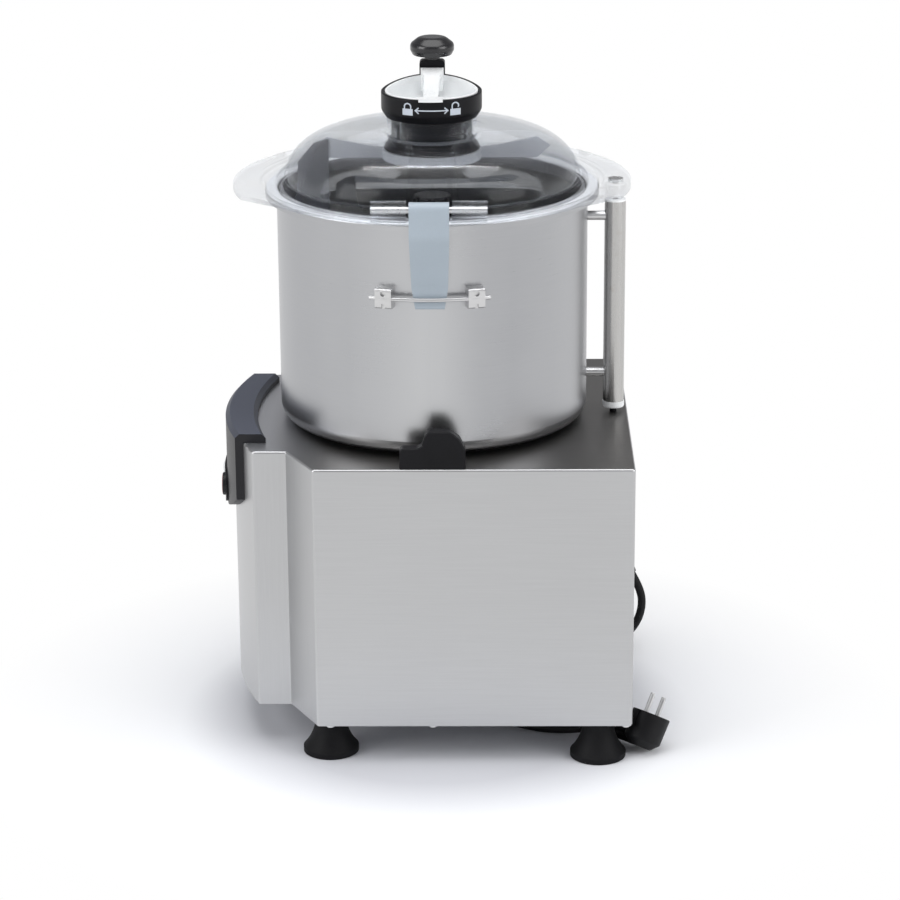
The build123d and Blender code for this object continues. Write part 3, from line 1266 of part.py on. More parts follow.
def coil_levels():
    """Heights of the centre line in the coil's lower and upper layers."""
    low = CORD_RADIUS + RUNNING
    return low, low + COIL_PITCH


def cord_coil():
    """Neat coil of the spare cord under the base, drawn as its outer shape, with a straight stub at each end."""
    low, high = coil_levels()
    ring = disc(COIL_OUTER + CORD_RADIUS, low - CORD_RADIUS, high + CORD_RADIUS, COIL_INNER - CORD_RADIUS)
    coil = Pos(*COIL_CENTRE, 0) * fillet(ring.edges(), CORD_RADIUS / 2)
    for angle, level, way in ((COIL_ENTRY, low, -1), (COIL_EXIT, high, 1)):
        touch, along, _ = coil_stub(angle, level, way)
        coil += Plane(touch, z_dir=way * along) * Cylinder(
            CORD_RADIUS, COIL_STUB, align=(Align.CENTER, Align.CENTER, Align.MIN))
    return coil


def cord_route():
    """Points of the cord from the gland, down behind the housing and under the base to the coil."""
    start = gland_mouth()
    x = start.X
    _, along, end = coil_stub(COIL_ENTRY, coil_levels()[0], -1)
    floor = end.Z
    return [
        start,
        start + 20 * gland_axis(),
        Vector(x, 209.5, 46.3),
        Vector(x, 203.3, 27.3),
        Vector(x, 189.9, 12.4),
        Vector(x, 171.7, floor),
        Vector(x - 2, 133, floor),
        end - 50 * along,
        end,
    ]


def plug_lead_route():
    """Points of the cord from the coil's upper layer, down to the floor and out past the rear foot to the plug."""
    _, along, start = coil_stub(COIL_EXIT, coil_levels()[1], 1)
    outlet, direction = plug_outlet()
    floor = coil_levels()[0]
    return [
        start,
        start + 26 * along,
        Vector(86, 74, floor + 1),
        Vector(95, 103, floor),
        outlet + Vector(-29, -45, -6.5),
        outlet + 26 * direction,
        outlet,
    ]


def tube(points):
    """Round cord along its route, each bend as wide as its two straight runs allow."""
    radii = []
    for before, here, after in zip(points, points[1:], points[2:]):
        turn = math.radians((here - before).get_angle(after - here))
        shorter = min((here - before).length, (after - here).length)
        radii.append(0.45 * shorter / math.tan(turn / 2))
    path = FilletPolyline(*points, radius=radii)
    print("cord radii", [round(radius, 1) for radius in radii], "length", round(path.length, 1))
    profile = Plane(path @ 0, z_dir=path % 0) * Circle(CORD_RADIUS)
    cord = sweep(profile, path)
    print("cord volume", round(cord.volume, 1), "section by length", round(path.length * math.pi * CORD_RADIUS**2, 1))
    return cord


# ------------------------------------------------------------------ all nodes
def nodes():
    """Every sub-part by its node name."""
    made = {
        "base_housing": base_housing(),
        "bottom_plate": bottom_plate(),
        "bottom_plate_screws": bottom_plate_screws(),
        "foot_studs": foot_studs(),
        "bowl_seat_ring": bowl_seat_ring(),
        "shaft_boss": shaft_boss(),
        "shaft_seal": shaft_seal(),
        "motor_mount_plate": motor_mount_plate(),
        "motor_flange": motor_flange(),
        "motor_screws": motor_screws(),
        "motor_casing": motor_casing(),
        "stator_core": stator_core(),
        "lower_end_shield": lower_end_shield(),
        "shaft_bearings": group([bearing(FLANGE_TOP - BEARING_HEIGHT), bearing(CASING_BOTTOM - BEARING_HEIGHT)]),
        "fan_cowl": fan_cowl(),
        "run_capacitor": run_capacitor(),
        "control_board": control_board(),
        "interlock_switch": interlock_switch(),
        "control_panel": control_panel(),
        "keypad": keypad(),
        "catch_pivot_pin": catch_pivot_pin(),
        "cord_gland": cord_gland(),
        "power_cord": tube(cord_route()),
        "cord_coil": cord_coil(),
        "plug_lead": tube(plug_lead_route()),
        "plug_body": plug_body(),
        "plug_pins": plug_pins(),
        "drive_shaft": drive_shaft(),
        "rotor": rotor(),
        "cooling_fan": cooling_fan(),
        "bowl_catch": bowl_catch(),
        "bowl": bowl(),
        "handle_tube": handle_tube(),
        "handle_standoffs": handle_standoffs(),
        "handle_caps": handle_caps(),
        "keeper_bar": keeper_bar(),
        "keeper_brackets": keeper_brackets(),
        "push_rod": push_rod(),
        "knife_hub": knife_hub(),
        "lower_blade": blade(LOWER_BLADE_TIP, LOWER_BLADE_RISE),
        "upper_blade": Rot(0, 0, 90) * blade(UPPER_BLADE_TIP, UPPER_BLADE_RISE),
        "knife_knob": knife_knob(),
        "hinge_arm": hinge_arm(),
        "hinge_pin": hinge_pin(),
        "lid_dome": lid_dome(),
        "lid_seal": lid_seal(),
        "lid_magnet": lid_magnet(),
        "scraper_hub": scraper_hub(),
        "scraper_arm": scraper_arm(),
        "wall_scraper": wall_scraper(),
        "crank_ring": crank_ring(),
        "crank_knob": crank_knob(),
        "filler_cap": filler_cap(),
    }
    for name, (x, y) in foot_places().items():
        made["foot_" + name] = Pos(x, y, 0) * foot()
    for name, x in zip(("start_button", "pulse_button", "stop_button"), button_places()):
        made[name] = push_button(x)
    return made


os.makedirs("parts", exist_ok=True)
for node_name, shape in nodes().items():
    export_step(shape, "parts/" + node_name + ".step")
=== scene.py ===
import math

import bmesh
import bpy
from mathutils import Matrix, Vector


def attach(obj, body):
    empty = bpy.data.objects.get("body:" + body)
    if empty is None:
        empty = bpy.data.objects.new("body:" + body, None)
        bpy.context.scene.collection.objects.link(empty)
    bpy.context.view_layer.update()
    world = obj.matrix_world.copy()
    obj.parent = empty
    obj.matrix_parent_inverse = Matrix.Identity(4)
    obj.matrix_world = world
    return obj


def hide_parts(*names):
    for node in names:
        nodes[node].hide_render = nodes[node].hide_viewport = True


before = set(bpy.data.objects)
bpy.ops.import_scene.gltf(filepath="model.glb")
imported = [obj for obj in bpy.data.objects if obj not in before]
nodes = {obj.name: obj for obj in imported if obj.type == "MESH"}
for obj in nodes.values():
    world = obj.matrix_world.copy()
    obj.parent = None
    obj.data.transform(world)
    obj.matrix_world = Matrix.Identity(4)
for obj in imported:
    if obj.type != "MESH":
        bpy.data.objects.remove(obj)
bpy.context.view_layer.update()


# ------------------------------------------------------------------ camera
CAMERA_PLACE = Vector((2.7909, 0.0536, 1.1725))
CAMERA_AIM = Vector((-0.94957, -0.01308, -0.31328))
CAMERA_ROLL = math.radians(-0.368)
CAMERA_LENS = 121.4


def make_camera():
    """Camera at the photograph's distance, height and angle of view."""
    right = CAMERA_AIM.cross(Vector((0, 0, 1))).normalized()
    up = right.cross(CAMERA_AIM).normalized()
    rolled_right = math.cos(CAMERA_ROLL) * right + math.sin(CAMERA_ROLL) * up
    rolled_up = math.cos(CAMERA_ROLL) * up - math.sin(CAMERA_ROLL) * right
    data = bpy.data.cameras.new("camera")
    data.lens = CAMERA_LENS
    data.sensor_width = 36.0
    data.clip_end = 50.0
    camera = bpy.data.objects.new("camera", data)
    bpy.context.scene.collection.objects.link(camera)
    turn = Matrix((rolled_right, rolled_up, -CAMERA_AIM.normalized())).transposed()
    camera.matrix_world = Matrix.Translation(CAMERA_PLACE) @ turn.to_4x4()
    bpy.context.scene.camera = camera


make_camera()


# ------------------------------------------------------------------ mains cord
CORD_RADIUS = 0.00415
CORD_EXIT = (-0.1100, 0.1974, 0.0835)
CORD_TO_COIL = [
    CORD_EXIT,
    (-0.1100, 0.2074, 0.0662),
    (-0.1100, 0.2095, 0.0463),
    (-0.1100, 0.2033, 0.0273),
    (-0.1100, 0.1899, 0.0124),
    (-0.1100, 0.1717, 0.0042),
    (-0.1120, 0.1330, 0.0042),
    (-0.0791, 0.0743, 0.0042),
    (-0.0604, 0.0280, 0.0042),
]
CORD_TO_PLUG = [
    (0.0609, 0.0195, 0.0126),
    (0.0739, 0.0420, 0.0126),
    (0.0890, 0.0720, 0.0052),
    (0.1030, 0.1010, 0.0042),
    (0.1085, 0.1299, 0.0050),
    (0.1150, 0.1535, 0.0110),
    (0.1273, 0.1749, 0.0115),
]
COIL_CENTRE = (0.0, 0.020)
COIL_OUTER = 0.053
COIL_INNER = 0.0386
COIL_LOW = 0.0042
COIL_HIGH = 0.0126
COIL_START = math.radians(202)
COIL_TURN = math.radians(1208)
COIL_STEPS_PER_TURN = 16
COIL_CLIMB = 0.05


def coil_points():
    """Control points of the coil: inwards round the lower layer, up, and outwards round the upper layer."""
    step = math.radians(360) / COIL_STEPS_PER_TURN
    count = round(COIL_TURN / step)
    points = []
    for index in range(count):
        share = (index + 0.5) / count
        radius = COIL_INNER + (COIL_OUTER - COIL_INNER) * abs(1 - 2 * share)
        climb = min(max((share - 0.5) / COIL_CLIMB + 0.5, 0.0), 1.0)
        angle = COIL_START + share * COIL_TURN
        reach = radius / math.cos(step / 2)
        points.append((
            COIL_CENTRE[0] + reach * math.cos(angle),
            COIL_CENTRE[1] + reach * math.sin(angle),
            COIL_LOW + (COIL_HIGH - COIL_LOW) * climb,
        ))
    return points


def make_cord():
    """Mains cord from the gland to the plug, the spare length coiled under the base."""
    points = CORD_TO_COIL + coil_points() + CORD_TO_PLUG
    data = bpy.data.curves.new("mains_cord", "CURVE")
    data.dimensions = "3D"
    data.bevel_depth = CORD_RADIUS
    data.bevel_resolution = 5
    data.resolution_u = 8
    data.use_fill_caps = True
    spline = data.splines.new("NURBS")
    spline.points.add(len(points) - 1)
    for place, point in zip(spline.points, points):
        place.co = (*point, 1.0)
    spline.order_u = 3
    spline.use_endpoint_u = True
    cord = bpy.data.objects.new("mains_cord", data)
    bpy.context.scene.collection.objects.link(cord)
    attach(cord, "base")
    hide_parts("power_cord", "cord_coil", "plug_lead")
    return cord


mains_cord = make_cord()


# ------------------------------------------------------------------ node helpers
EVEN = (1, 1, 1)
NOISE_LOW = 0.3
NOISE_HIGH = 0.7


class Material:
    """A node material with short calls for the nodes that this scene uses."""

    def __init__(self, name):
        self.name = name
        self.material = bpy.data.materials.new(name)
        self.material.use_nodes = True
        self.tree = self.material.node_tree
        self.shader = self.tree.nodes["Principled BSDF"]
        self.place = self.node("ShaderNodeTexCoord").outputs["Object"]

    def node(self, kind, **settings):
        """New node with these settings."""
        made = self.tree.nodes.new(kind)
        for key, value in settings.items():
            setattr(made, key, value)
        return made

    def link(self, output, socket):
        """Feeds an output into a socket."""
        self.tree.links.new(output, socket)

    def set(self, **values):
        """Sets the shader's sockets; an underscore in a key stands for a space."""
        for key, value in values.items():
            self.shader.inputs[key.replace("_", " ")].default_value = value

    def scaled(self, scale):
        """Place coordinates stretched by scale."""
        mapping = self.node("ShaderNodeMapping")
        mapping.inputs["Scale"].default_value = scale
        self.link(self.place, mapping.inputs["Vector"])
        return mapping.outputs["Vector"]

    def noise(self, scale, stretch=EVEN, detail=3.0, rough=0.5):
        """Noise between about 0.2 and 0.8, stretched along an axis by small factors."""
        made = self.node("ShaderNodeTexNoise")
        made.inputs["Scale"].default_value = scale
        made.inputs["Detail"].default_value = detail
        made.inputs["Roughness"].default_value = rough
        self.link(self.scaled(stretch), made.inputs["Vector"])
        return made.outputs["Fac"]

    def span(self, value, low, high, start=NOISE_LOW, end=NOISE_HIGH):
        """Maps a value from start..end to low..high."""
        made = self.node("ShaderNodeMapRange")
        self.link(value, made.inputs["Value"])
        made.inputs["From Min"].default_value = start
        made.inputs["From Max"].default_value = end
        made.inputs["To Min"].default_value = low
        made.inputs["To Max"].default_value = high
        return made.outputs["Result"]

    def math(self, operation, first, second):
        """Result of a sum or comparison; each term is a number or another result."""
        made = self.node("ShaderNodeMath", operation=operation)
        for index, value in enumerate((first, second)):
            if isinstance(value, (int, float)):
                made.inputs[index].default_value = value
            else:
                self.link(value, made.inputs[index])
        return made.outputs["Value"]

    def mix(self, factor, first, second):
        """Colour between first and second."""
        made = self.node("ShaderNodeMix", data_type="RGBA")
        self.link(factor, made.inputs["Factor"])
        for name, value in (("A", first), ("B", second)):
            socket = [s for s in made.inputs if s.name == name and s.type == "RGBA"][0]
            if isinstance(value, tuple):
                socket.default_value = (*value, 1.0)
            else:
                self.link(value, socket)
        return [s for s in made.outputs if s.type == "RGBA"][0]

    def blend(self, factor, first, second):
        """Number between first and second."""
        made = self.node("ShaderNodeMix", data_type="FLOAT")
        self.link(factor, made.inputs["Factor"])
        for name, value in (("A", first), ("B", second)):
            socket = [s for s in made.inputs if s.name == name and s.type == "VALUE"][0]
            if isinstance(value, (int, float)):
                socket.default_value = value
            else:
                self.link(value, socket)
        return [s for s in made.outputs if s.type == "VALUE"][0]

    def bump(self, height, distance, strength):
        """Relief of the surface, distance in metres."""
        made = self.node("ShaderNodeBump")
        made.inputs["Distance"].default_value = distance
        made.inputs["Strength"].default_value = strength
        self.link(height, made.inputs["Height"])
        self.link(made.outputs["Normal"], self.shader.inputs["Normal"])

    def colour(self, result):
        """Sets the surface's colour."""
        self.link(result, self.shader.inputs["Base Color"])

    def roughness(self, result, low, high):
        """Lets the roughness run from low to high with a noise."""
        self.link(self.span(result, low, high), self.shader.inputs["Roughness"])

    def shades(self, result, dark, light):
        """Colour between dark and light by a noise."""
        return self.mix(self.span(result, 0.0, 1.0), dark, light)

    def soft_shades(self, tone, dark, light, narrow=(0.38, 0.62)):
        """Colour between dark and light by a narrower noise."""
        return self.mix(self.span(tone, 0.0, 1.0, *narrow), dark, light)

    def sum_of(self, first, second, share=0.5):
        """Sum of two noises, share of the first and the rest of the second."""
        return self.math("ADD", self.math("MULTIPLY", first, share), self.math("MULTIPLY", second, 1 - share))

    def both(self, first, second):
        """1 where both tests hold, else 0."""
        return self.math("MULTIPLY", first, second)

    def above(self, value, limit):
        """1 where value is above limit, else 0."""
        return self.math("GREATER_THAN", value, limit)

    def below(self, value, limit):
        """1 where value is below limit, else 0."""
        return self.math("LESS_THAN", value, limit)

    def blend_shader(self, factor, second):
        """Mixes the surface with a second shader and makes that the result."""
        mixer = self.node("ShaderNodeMixShader")
        if isinstance(factor, float):
            mixer.inputs["Fac"].default_value = factor
        else:
            self.link(factor, mixer.inputs["Fac"])
        self.link(self.shader.outputs["BSDF"], mixer.inputs[1])
        self.link(second, mixer.inputs[2])
        self.link(mixer.outputs["Shader"], self.tree.nodes["Material Output"].inputs["Surface"])

    def facing(self, letter):
        """How far the surface faces along an axis of the object, from -1 to 1."""
        made = self.node("ShaderNodeSeparateXYZ")
        self.link(self.node("ShaderNodeTexCoord").outputs["Normal"], made.inputs["Vector"])
        return made.outputs[letter]

    def axis(self, letter):
        """Place of the surface along an axis, in metres."""
        made = self.node("ShaderNodeSeparateXYZ")
        self.link(self.place, made.inputs["Vector"])
        return made.outputs[letter]


# ------------------------------------------------------------------ materials
FOLD_LINE = -0.1075
# Painted reflection on the sheet's upward-facing deck: pale at the -Y edge, dark from about Y = -0.1 onwards.
DECK_PAINTED_PALE_END = -0.155
DECK_PAINTED_DARK_START = -0.100
SHEET_DARK = (0.50, 0.503, 0.51)
SHEET_LIGHT = (0.53, 0.533, 0.54)
DECK_PAINTED_PALE_REFLECTION = (0.62, 0.63, 0.66)
DECK_PAINTED_DARK_REFLECTION = (0.21, 0.205, 0.20)
BOWL_DARK = (0.355, 0.36, 0.378)
BOWL_LIGHT = (0.385, 0.39, 0.408)
# Painted highlight colour for the bowl's bright front strip and its painted reflection streaks.
BOWL_PAINTED_HIGHLIGHT = (0.55, 0.555, 0.565)
PAINTED_HIGHLIGHT_MIDDLE = 0.01
PAINTED_HIGHLIGHT_EDGE = 0.075
# Painted light on the bowl's upward rim: a pale colour, shown through by making the rim less metallic
# (LIP_DULLNESS).
LIP_PAINTED_LIGHT = (0.84, 0.85, 0.87)
LIP_HEIGHT = 0.505
LIP_DULLNESS = 0.75
UPWARD = 0.9
LEVELLISH = 0.7
TUBE_DARK = (0.49, 0.485, 0.475)
TUBE_LIGHT = (0.53, 0.525, 0.515)
WELD_STAIN = (0.34, 0.29, 0.23)
CLEAR_SHARE = 0.70
CLEAR_INDEX = 1.33
PANEL_SIDE = ((0.008, 0.008, 0.010), (0.014, 0.014, 0.017))
PANEL_TOP = ((0.060, 0.068, 0.095), (0.075, 0.084, 0.112))
SKIRT_BLACK = (0.008, 0.008, 0.010)
BUTTON_SHADE = 0.8
BUTTON_FACE = -0.8
DEEP_BLACK = ((0.004, 0.004, 0.005), (0.008, 0.008, 0.010))
SOFT_BLACK = ((0.004, 0.004, 0.005), (0.009, 0.009, 0.010))
SEMI_GLOSS = 0.3


def brushed_sheet():
    """Brushed stainless sheet: level grain on the sides, upright grain on the folded front, and a painted
    reflection on the deck, pale to dark along Y.
    """
    m = Material("brushed_sheet")
    m.set(Metallic=1.0, Anisotropic=0.35)
    level = m.noise(700.0, (1.0, 0.02, 1.0), 4.0, 0.65)
    upright = m.noise(700.0, (1.0, 1.0, 0.02), 4.0, 0.65)
    grain = m.blend(m.below(m.axis("Y"), FOLD_LINE), level, upright)
    cloud = m.noise(5.0, EVEN, 2.0)
    tone = m.sum_of(grain, cloud, 0.6)
    sides = m.soft_shades(tone, SHEET_DARK, SHEET_LIGHT)
    # Painted reflection: upward-facing sheet takes a painted pale-to-dark colour along Y in place of the grain
    # tone.
    deck = m.mix(m.span(m.axis("Y"), 0.0, 1.0, DECK_PAINTED_PALE_END, DECK_PAINTED_DARK_START), DECK_PAINTED_PALE_REFLECTION, DECK_PAINTED_DARK_REFLECTION)
    m.colour(m.mix(m.above(m.facing("Z"), UPWARD), sides, deck))
    m.roughness(tone, 0.34, 0.42)
    m.bump(grain, 0.00002, 0.3)
    return m


def turned_steel():
    """Satin stainless of the bowl: grain round the wall, a painted highlight down the middle of the front half with
    painted vertical reflection streaks, and an upward rim painted pale as if lit from above.
    """
    m = Material("turned_steel")
    m.set(Metallic=1.0, Anisotropic=0.55)
    tangent = m.node("ShaderNodeTangent", direction_type="RADIAL", axis="Z")
    m.link(tangent.outputs["Tangent"], m.shader.inputs["Tangent"])
    grain = m.noise(800.0, (0.03, 0.03, 1.0), 4.0, 0.7)
    tone = m.sum_of(grain, m.noise(14.0, (1, 1, 1.4), 3.0))
    steel = m.soft_shades(tone, BOWL_DARK, BOWL_LIGHT)
    # Painted highlight: a soft bright strip down the middle of the front half (X > 0), plus painted vertical
    # reflection streaks from a stretched noise.
    off_middle = m.math("ABSOLUTE", m.axis("Y"), 0.0)
    painted_highlight = m.both(m.span(off_middle, 1.0, 0.0, PAINTED_HIGHLIGHT_MIDDLE, PAINTED_HIGHLIGHT_EDGE), m.above(m.axis("X"), 0.0))
    painted_streaks = m.span(m.noise(7.0, (1, 1, 0.04), 2.0), 0.0, 0.5, 0.35, 0.65)
    wall = m.mix(m.math("ADD", m.math("MULTIPLY", painted_highlight, 0.6), painted_streaks), steel, BOWL_PAINTED_HIGHLIGHT)
    # Painted light: the upward-facing rim above LIP_HEIGHT is painted pale and made less metallic, as if lit from
    # above.
    painted_lip_light = m.both(m.above(m.facing("Z"), LEVELLISH), m.above(m.axis("Z"), LIP_HEIGHT))
    m.colour(m.mix(painted_lip_light, wall, LIP_PAINTED_LIGHT))
    m.link(m.math("SUBTRACT", 1.0, m.math("MULTIPLY", painted_lip_light, LIP_DULLNESS)), m.shader.inputs["Metallic"])
    m.roughness(tone, 0.26, 0.34)
    m.bump(grain, 0.00002, 0.3)
    return m


def tube_steel():
    """Drawn steel of the handle, with welding stains."""
    m = Material("tube_steel")
    m.set(Metallic=1.0)
    grain = m.noise(900.0, (1.0, 1.0, 0.03), 3.0, 0.6)
    stain = m.span(m.noise(60.0, EVEN, 4.0, 0.6), 0.0, 0.3, 0.60, 0.78)
    m.colour(m.mix(stain, m.shades(grain, TUBE_DARK, TUBE_LIGHT), WELD_STAIN))
    m.roughness(grain, 0.24, 0.32)
    m.bump(grain, 0.000005, 0.2)
    return m


def machined_steel(name, low=0.58, high=0.64, rough=0.22, grain_scale=1500.0):
    """Machined or ground steel with faint turning marks."""
    m = Material(name)
    m.set(Metallic=1.0)
    grain = m.noise(grain_scale, (0.15, 0.15, 1.0), 3.0, 0.6)
    m.colour(m.shades(grain, (low, low, low), (high, high, high * 1.01)))
    m.roughness(grain, rough, rough + 0.14)
    m.bump(grain, 0.000003, 0.2)
    return m


def clear_plastic():
    """Clear polycarbonate with a cool tint and faint handling marks, partly open to what lies behind."""
    m = Material("clear_plastic")
    m.set(Transmission_Weight=1.0, IOR=CLEAR_INDEX, Specular_IOR_Level=0.25)
    smear = m.noise(18.0, EVEN, 3.0)
    m.roughness(smear, 0.01, 0.04)
    m.colour(m.shades(smear, (0.95, 0.97, 1.0), (0.98, 0.99, 1.0)))
    open_part = m.node("ShaderNodeBsdfTransparent")
    m.link(m.shades(smear, (0.975, 0.985, 1.0), (0.99, 0.995, 1.0)), open_part.inputs["Color"])
    m.blend_shader(CLEAR_SHARE, open_part.outputs["BSDF"])
    return m


def plastic(name, dark, light, rough, grain_size=1800.0, bump=0.00003, specular=0.5):
    """Moulded plastic or rubber: fine grain, slight cloudiness in its colour."""
    m = Material(name)
    m.set(Specular_IOR_Level=specular)
    grain = m.noise(grain_size, EVEN, 2.0)
    tone = m.sum_of(grain, m.noise(22.0, EVEN, 3.0))
    m.colour(m.soft_shades(tone, dark, light, (0.36, 0.64)))
    m.roughness(tone, rough - 0.06, rough + 0.08)
    m.bump(grain, bump, 0.5)
    return m


def panel_plastic():
    """Black moulding of the control panel, its upper face paler where it takes the light."""
    m = Material("panel_plastic")
    m.set(Specular_IOR_Level=SEMI_GLOSS)
    grain = m.noise(1400.0, EVEN, 2.0)
    upward = m.span(m.facing("Z"), 0.0, 1.0, 0.3, UPWARD)
    m.colour(m.mix(upward, m.shades(grain, *PANEL_SIDE), m.shades(grain, *PANEL_TOP)))
    m.roughness(grain, 0.38, 0.48)
    m.bump(grain, 0.00002, 0.4)
    return m


def button_plastic(name, colour):
    """Push button: coloured on its face, black round its skirt."""
    m = Material(name)
    m.set(Specular_IOR_Level=SEMI_GLOSS)
    grain = m.noise(1500.0, EVEN, 2.0)
    shade = m.shades(grain, colour, tuple(BUTTON_SHADE * part for part in colour))
    m.colour(m.mix(m.below(m.facing("Y"), BUTTON_FACE), SKIRT_BLACK, shade))
    m.roughness(grain, 0.30, 0.42)
    return m


MATERIALS = {made.name: made.material for made in (
    brushed_sheet(),
    turned_steel(),
    tube_steel(),
    machined_steel("machined_steel"),
    machined_steel("nickel", 0.60, 0.66, 0.26, 90.0),
    machined_steel("blade_steel", 0.62, 0.82, 0.16),
    clear_plastic(),
    plastic("black_plastic", *DEEP_BLACK, 0.40, specular=0.16),
    plastic("knob_plastic", (0.006, 0.006, 0.007), (0.011, 0.011, 0.013), 0.24, specular=0.6),
    panel_plastic(),
    plastic("dark_grey_plastic", (0.075, 0.08, 0.095), (0.10, 0.105, 0.12), 0.45),
    plastic("grey_plastic", (0.34, 0.395, 0.45), (0.37, 0.43, 0.485), 0.38, 1500.0, 0.00002),
    plastic("wing_plastic", (0.42, 0.44, 0.48), (0.50, 0.52, 0.56), 0.26),
    plastic("white_plastic", (0.80, 0.82, 0.83), (0.87, 0.88, 0.885), 0.30, 1500.0, 0.00001),
    button_plastic("green_plastic", (0.03, 0.27, 0.08)),
    button_plastic("red_plastic", (0.47, 0.025, 0.02)),
    plastic("board_green", (0.02, 0.14, 0.05), (0.04, 0.20, 0.08), 0.45),
    plastic("lacquer", (0.06, 0.06, 0.065), (0.10, 0.10, 0.105), 0.40),
    machined_steel("cast_aluminium", 0.40, 0.55, 0.42),
    plastic("rubber", *SOFT_BLACK, 0.60, 900.0, 0.00004, 0.16),
    plastic("seal_rubber", (0.10, 0.10, 0.11), (0.15, 0.15, 0.16), 0.5, 900.0, 0.00004, 0.3),
    plastic("icon_white", (0.50, 0.55, 0.62), (0.56, 0.61, 0.68), 0.5),
    plastic("cord_jacket", *SOFT_BLACK, 0.50, 1200.0, 0.00003, 0.22),
    plastic("plug_plastic", *SOFT_BLACK, 0.46, 1400.0, 0.00003, 0.2),
)}

FINISHES = {
    "brushed_sheet": ["base_housing", "bottom_plate"],
    "turned_steel": ["bowl"],
    "tube_steel": ["handle_tube"],
    "nickel": ["handle_standoffs", "keeper_bar", "keeper_brackets", "plug_pins"],
    "machined_steel": ["bottom_plate_screws", "foot_studs", "shaft_boss", "motor_mount_plate", "motor_screws",
                       "shaft_bearings", "catch_pivot_pin", "drive_shaft", "lid_magnet",
                       "hinge_pin"],
    "blade_steel": ["lower_blade", "upper_blade"],
    "clear_plastic": ["lid_dome"],
    "black_plastic": ["interlock_switch", "cord_gland", "cooling_fan", "bowl_catch", "push_rod", "knife_hub",
                      "knife_knob", "scraper_hub", "crank_ring", "keypad"],
    "knob_plastic": ["crank_knob"],
    "panel_plastic": ["control_panel"],
    "dark_grey_plastic": ["wall_scraper"],
    "grey_plastic": ["hinge_arm"],
    "wing_plastic": ["scraper_arm"],
    "white_plastic": ["run_capacitor", "pulse_button", "handle_caps", "filler_cap"],
    "green_plastic": ["start_button"],
    "red_plastic": ["stop_button"],
    "board_green": ["control_board"],
    "lacquer": ["stator_core", "fan_cowl", "rotor"],
    "cast_aluminium": ["motor_flange", "motor_casing", "lower_end_shield"],
    "rubber": ["bowl_seat_ring", "shaft_seal", "foot_front_left", "foot_front_right", "foot_rear_left",
               "foot_rear_right"],
    "seal_rubber": ["lid_seal"],
    "plug_plastic": ["plug_body"],
}


def paint(piece, finish):
    """Gives every material slot of a piece one finish."""
    slots = piece.data.materials
    if not slots:
        slots.append(MATERIALS[finish])
    for index in range(len(slots)):
        slots[index] = MATERIALS[finish]


for finish, names in FINISHES.items():
    for name in names:
        paint(nodes[name], finish)
paint(mains_cord, "cord_jacket")


# ------------------------------------------------------------------ raised rims and signs of the crank ring
RIM_SWEEP = 0.161
RIM_STEPS = 60
RING_RIM = {"inner": 0.0439, "outer": 0.0471, "base": 0.6047}
CAP_RIM = {"inner": 0.0414, "outer": 0.0434, "base": 0.6054}
SIGN_RADIUS = 0.0472
SIGN_THICKNESS = 0.00012
SIGN_LINE = 0.0011
SIGN_STEP = 0.001
LOCK_FOOT = 0.5902
LOCK_TOP = 0.5962
HOOP_RADIUS = 0.0029
CLOSED_LOCK = {"left": -0.0260, "right": -0.0166, "hoop_left": -0.0242, "hoop_rise": 0.5982, "hoop_end": 0,
               "foot": [(-0.0184, LOCK_TOP)]}
OPEN_LOCK = {"left": 0.0180, "right": 0.0275, "hoop_left": 0.0198, "hoop_rise": 0.5990, "hoop_end": -20, "foot": []}
ARROW_LEFT = -0.0142
ARROW_RIGHT = 0.0158
ARROW_HEIGHT = 0.5950
ARROW_HEAD = 0.0027
ARROW_SPREAD = 0.0024


def linked(name, vertices, faces):
    """New mesh object in the scene."""
    mesh = bpy.data.meshes.new(name)
    mesh.from_pydata(vertices, [], faces)
    mesh.validate()
    made = bpy.data.objects.new(name, mesh)
    bpy.context.scene.collection.objects.link(made)
    return made


def raised_rim(name, inner, outer, base):
    """Crescent wall on the far half of a round rim, its top sweeping up towards the back."""
    vertices, faces = [], []
    for index in range(RIM_STEPS + 1):
        angle = math.pi / 2 + math.pi * index / RIM_STEPS
        back = outer * math.cos(angle)
        top = base + RIM_SWEEP - math.sqrt(RIM_SWEEP ** 2 - back ** 2)
        for radius, height in ((inner, base), (outer, base), (outer, top), (inner, top)):
            vertices.append((radius * math.cos(angle), radius * math.sin(angle), height))
    for index in range(RIM_STEPS):
        low, high = 4 * index, 4 * index + 4
        for side in range(4):
            turn = (side + 1) % 4
            faces.append((low + side, low + turn, high + turn, high + side))
    return linked(name, vertices, faces)


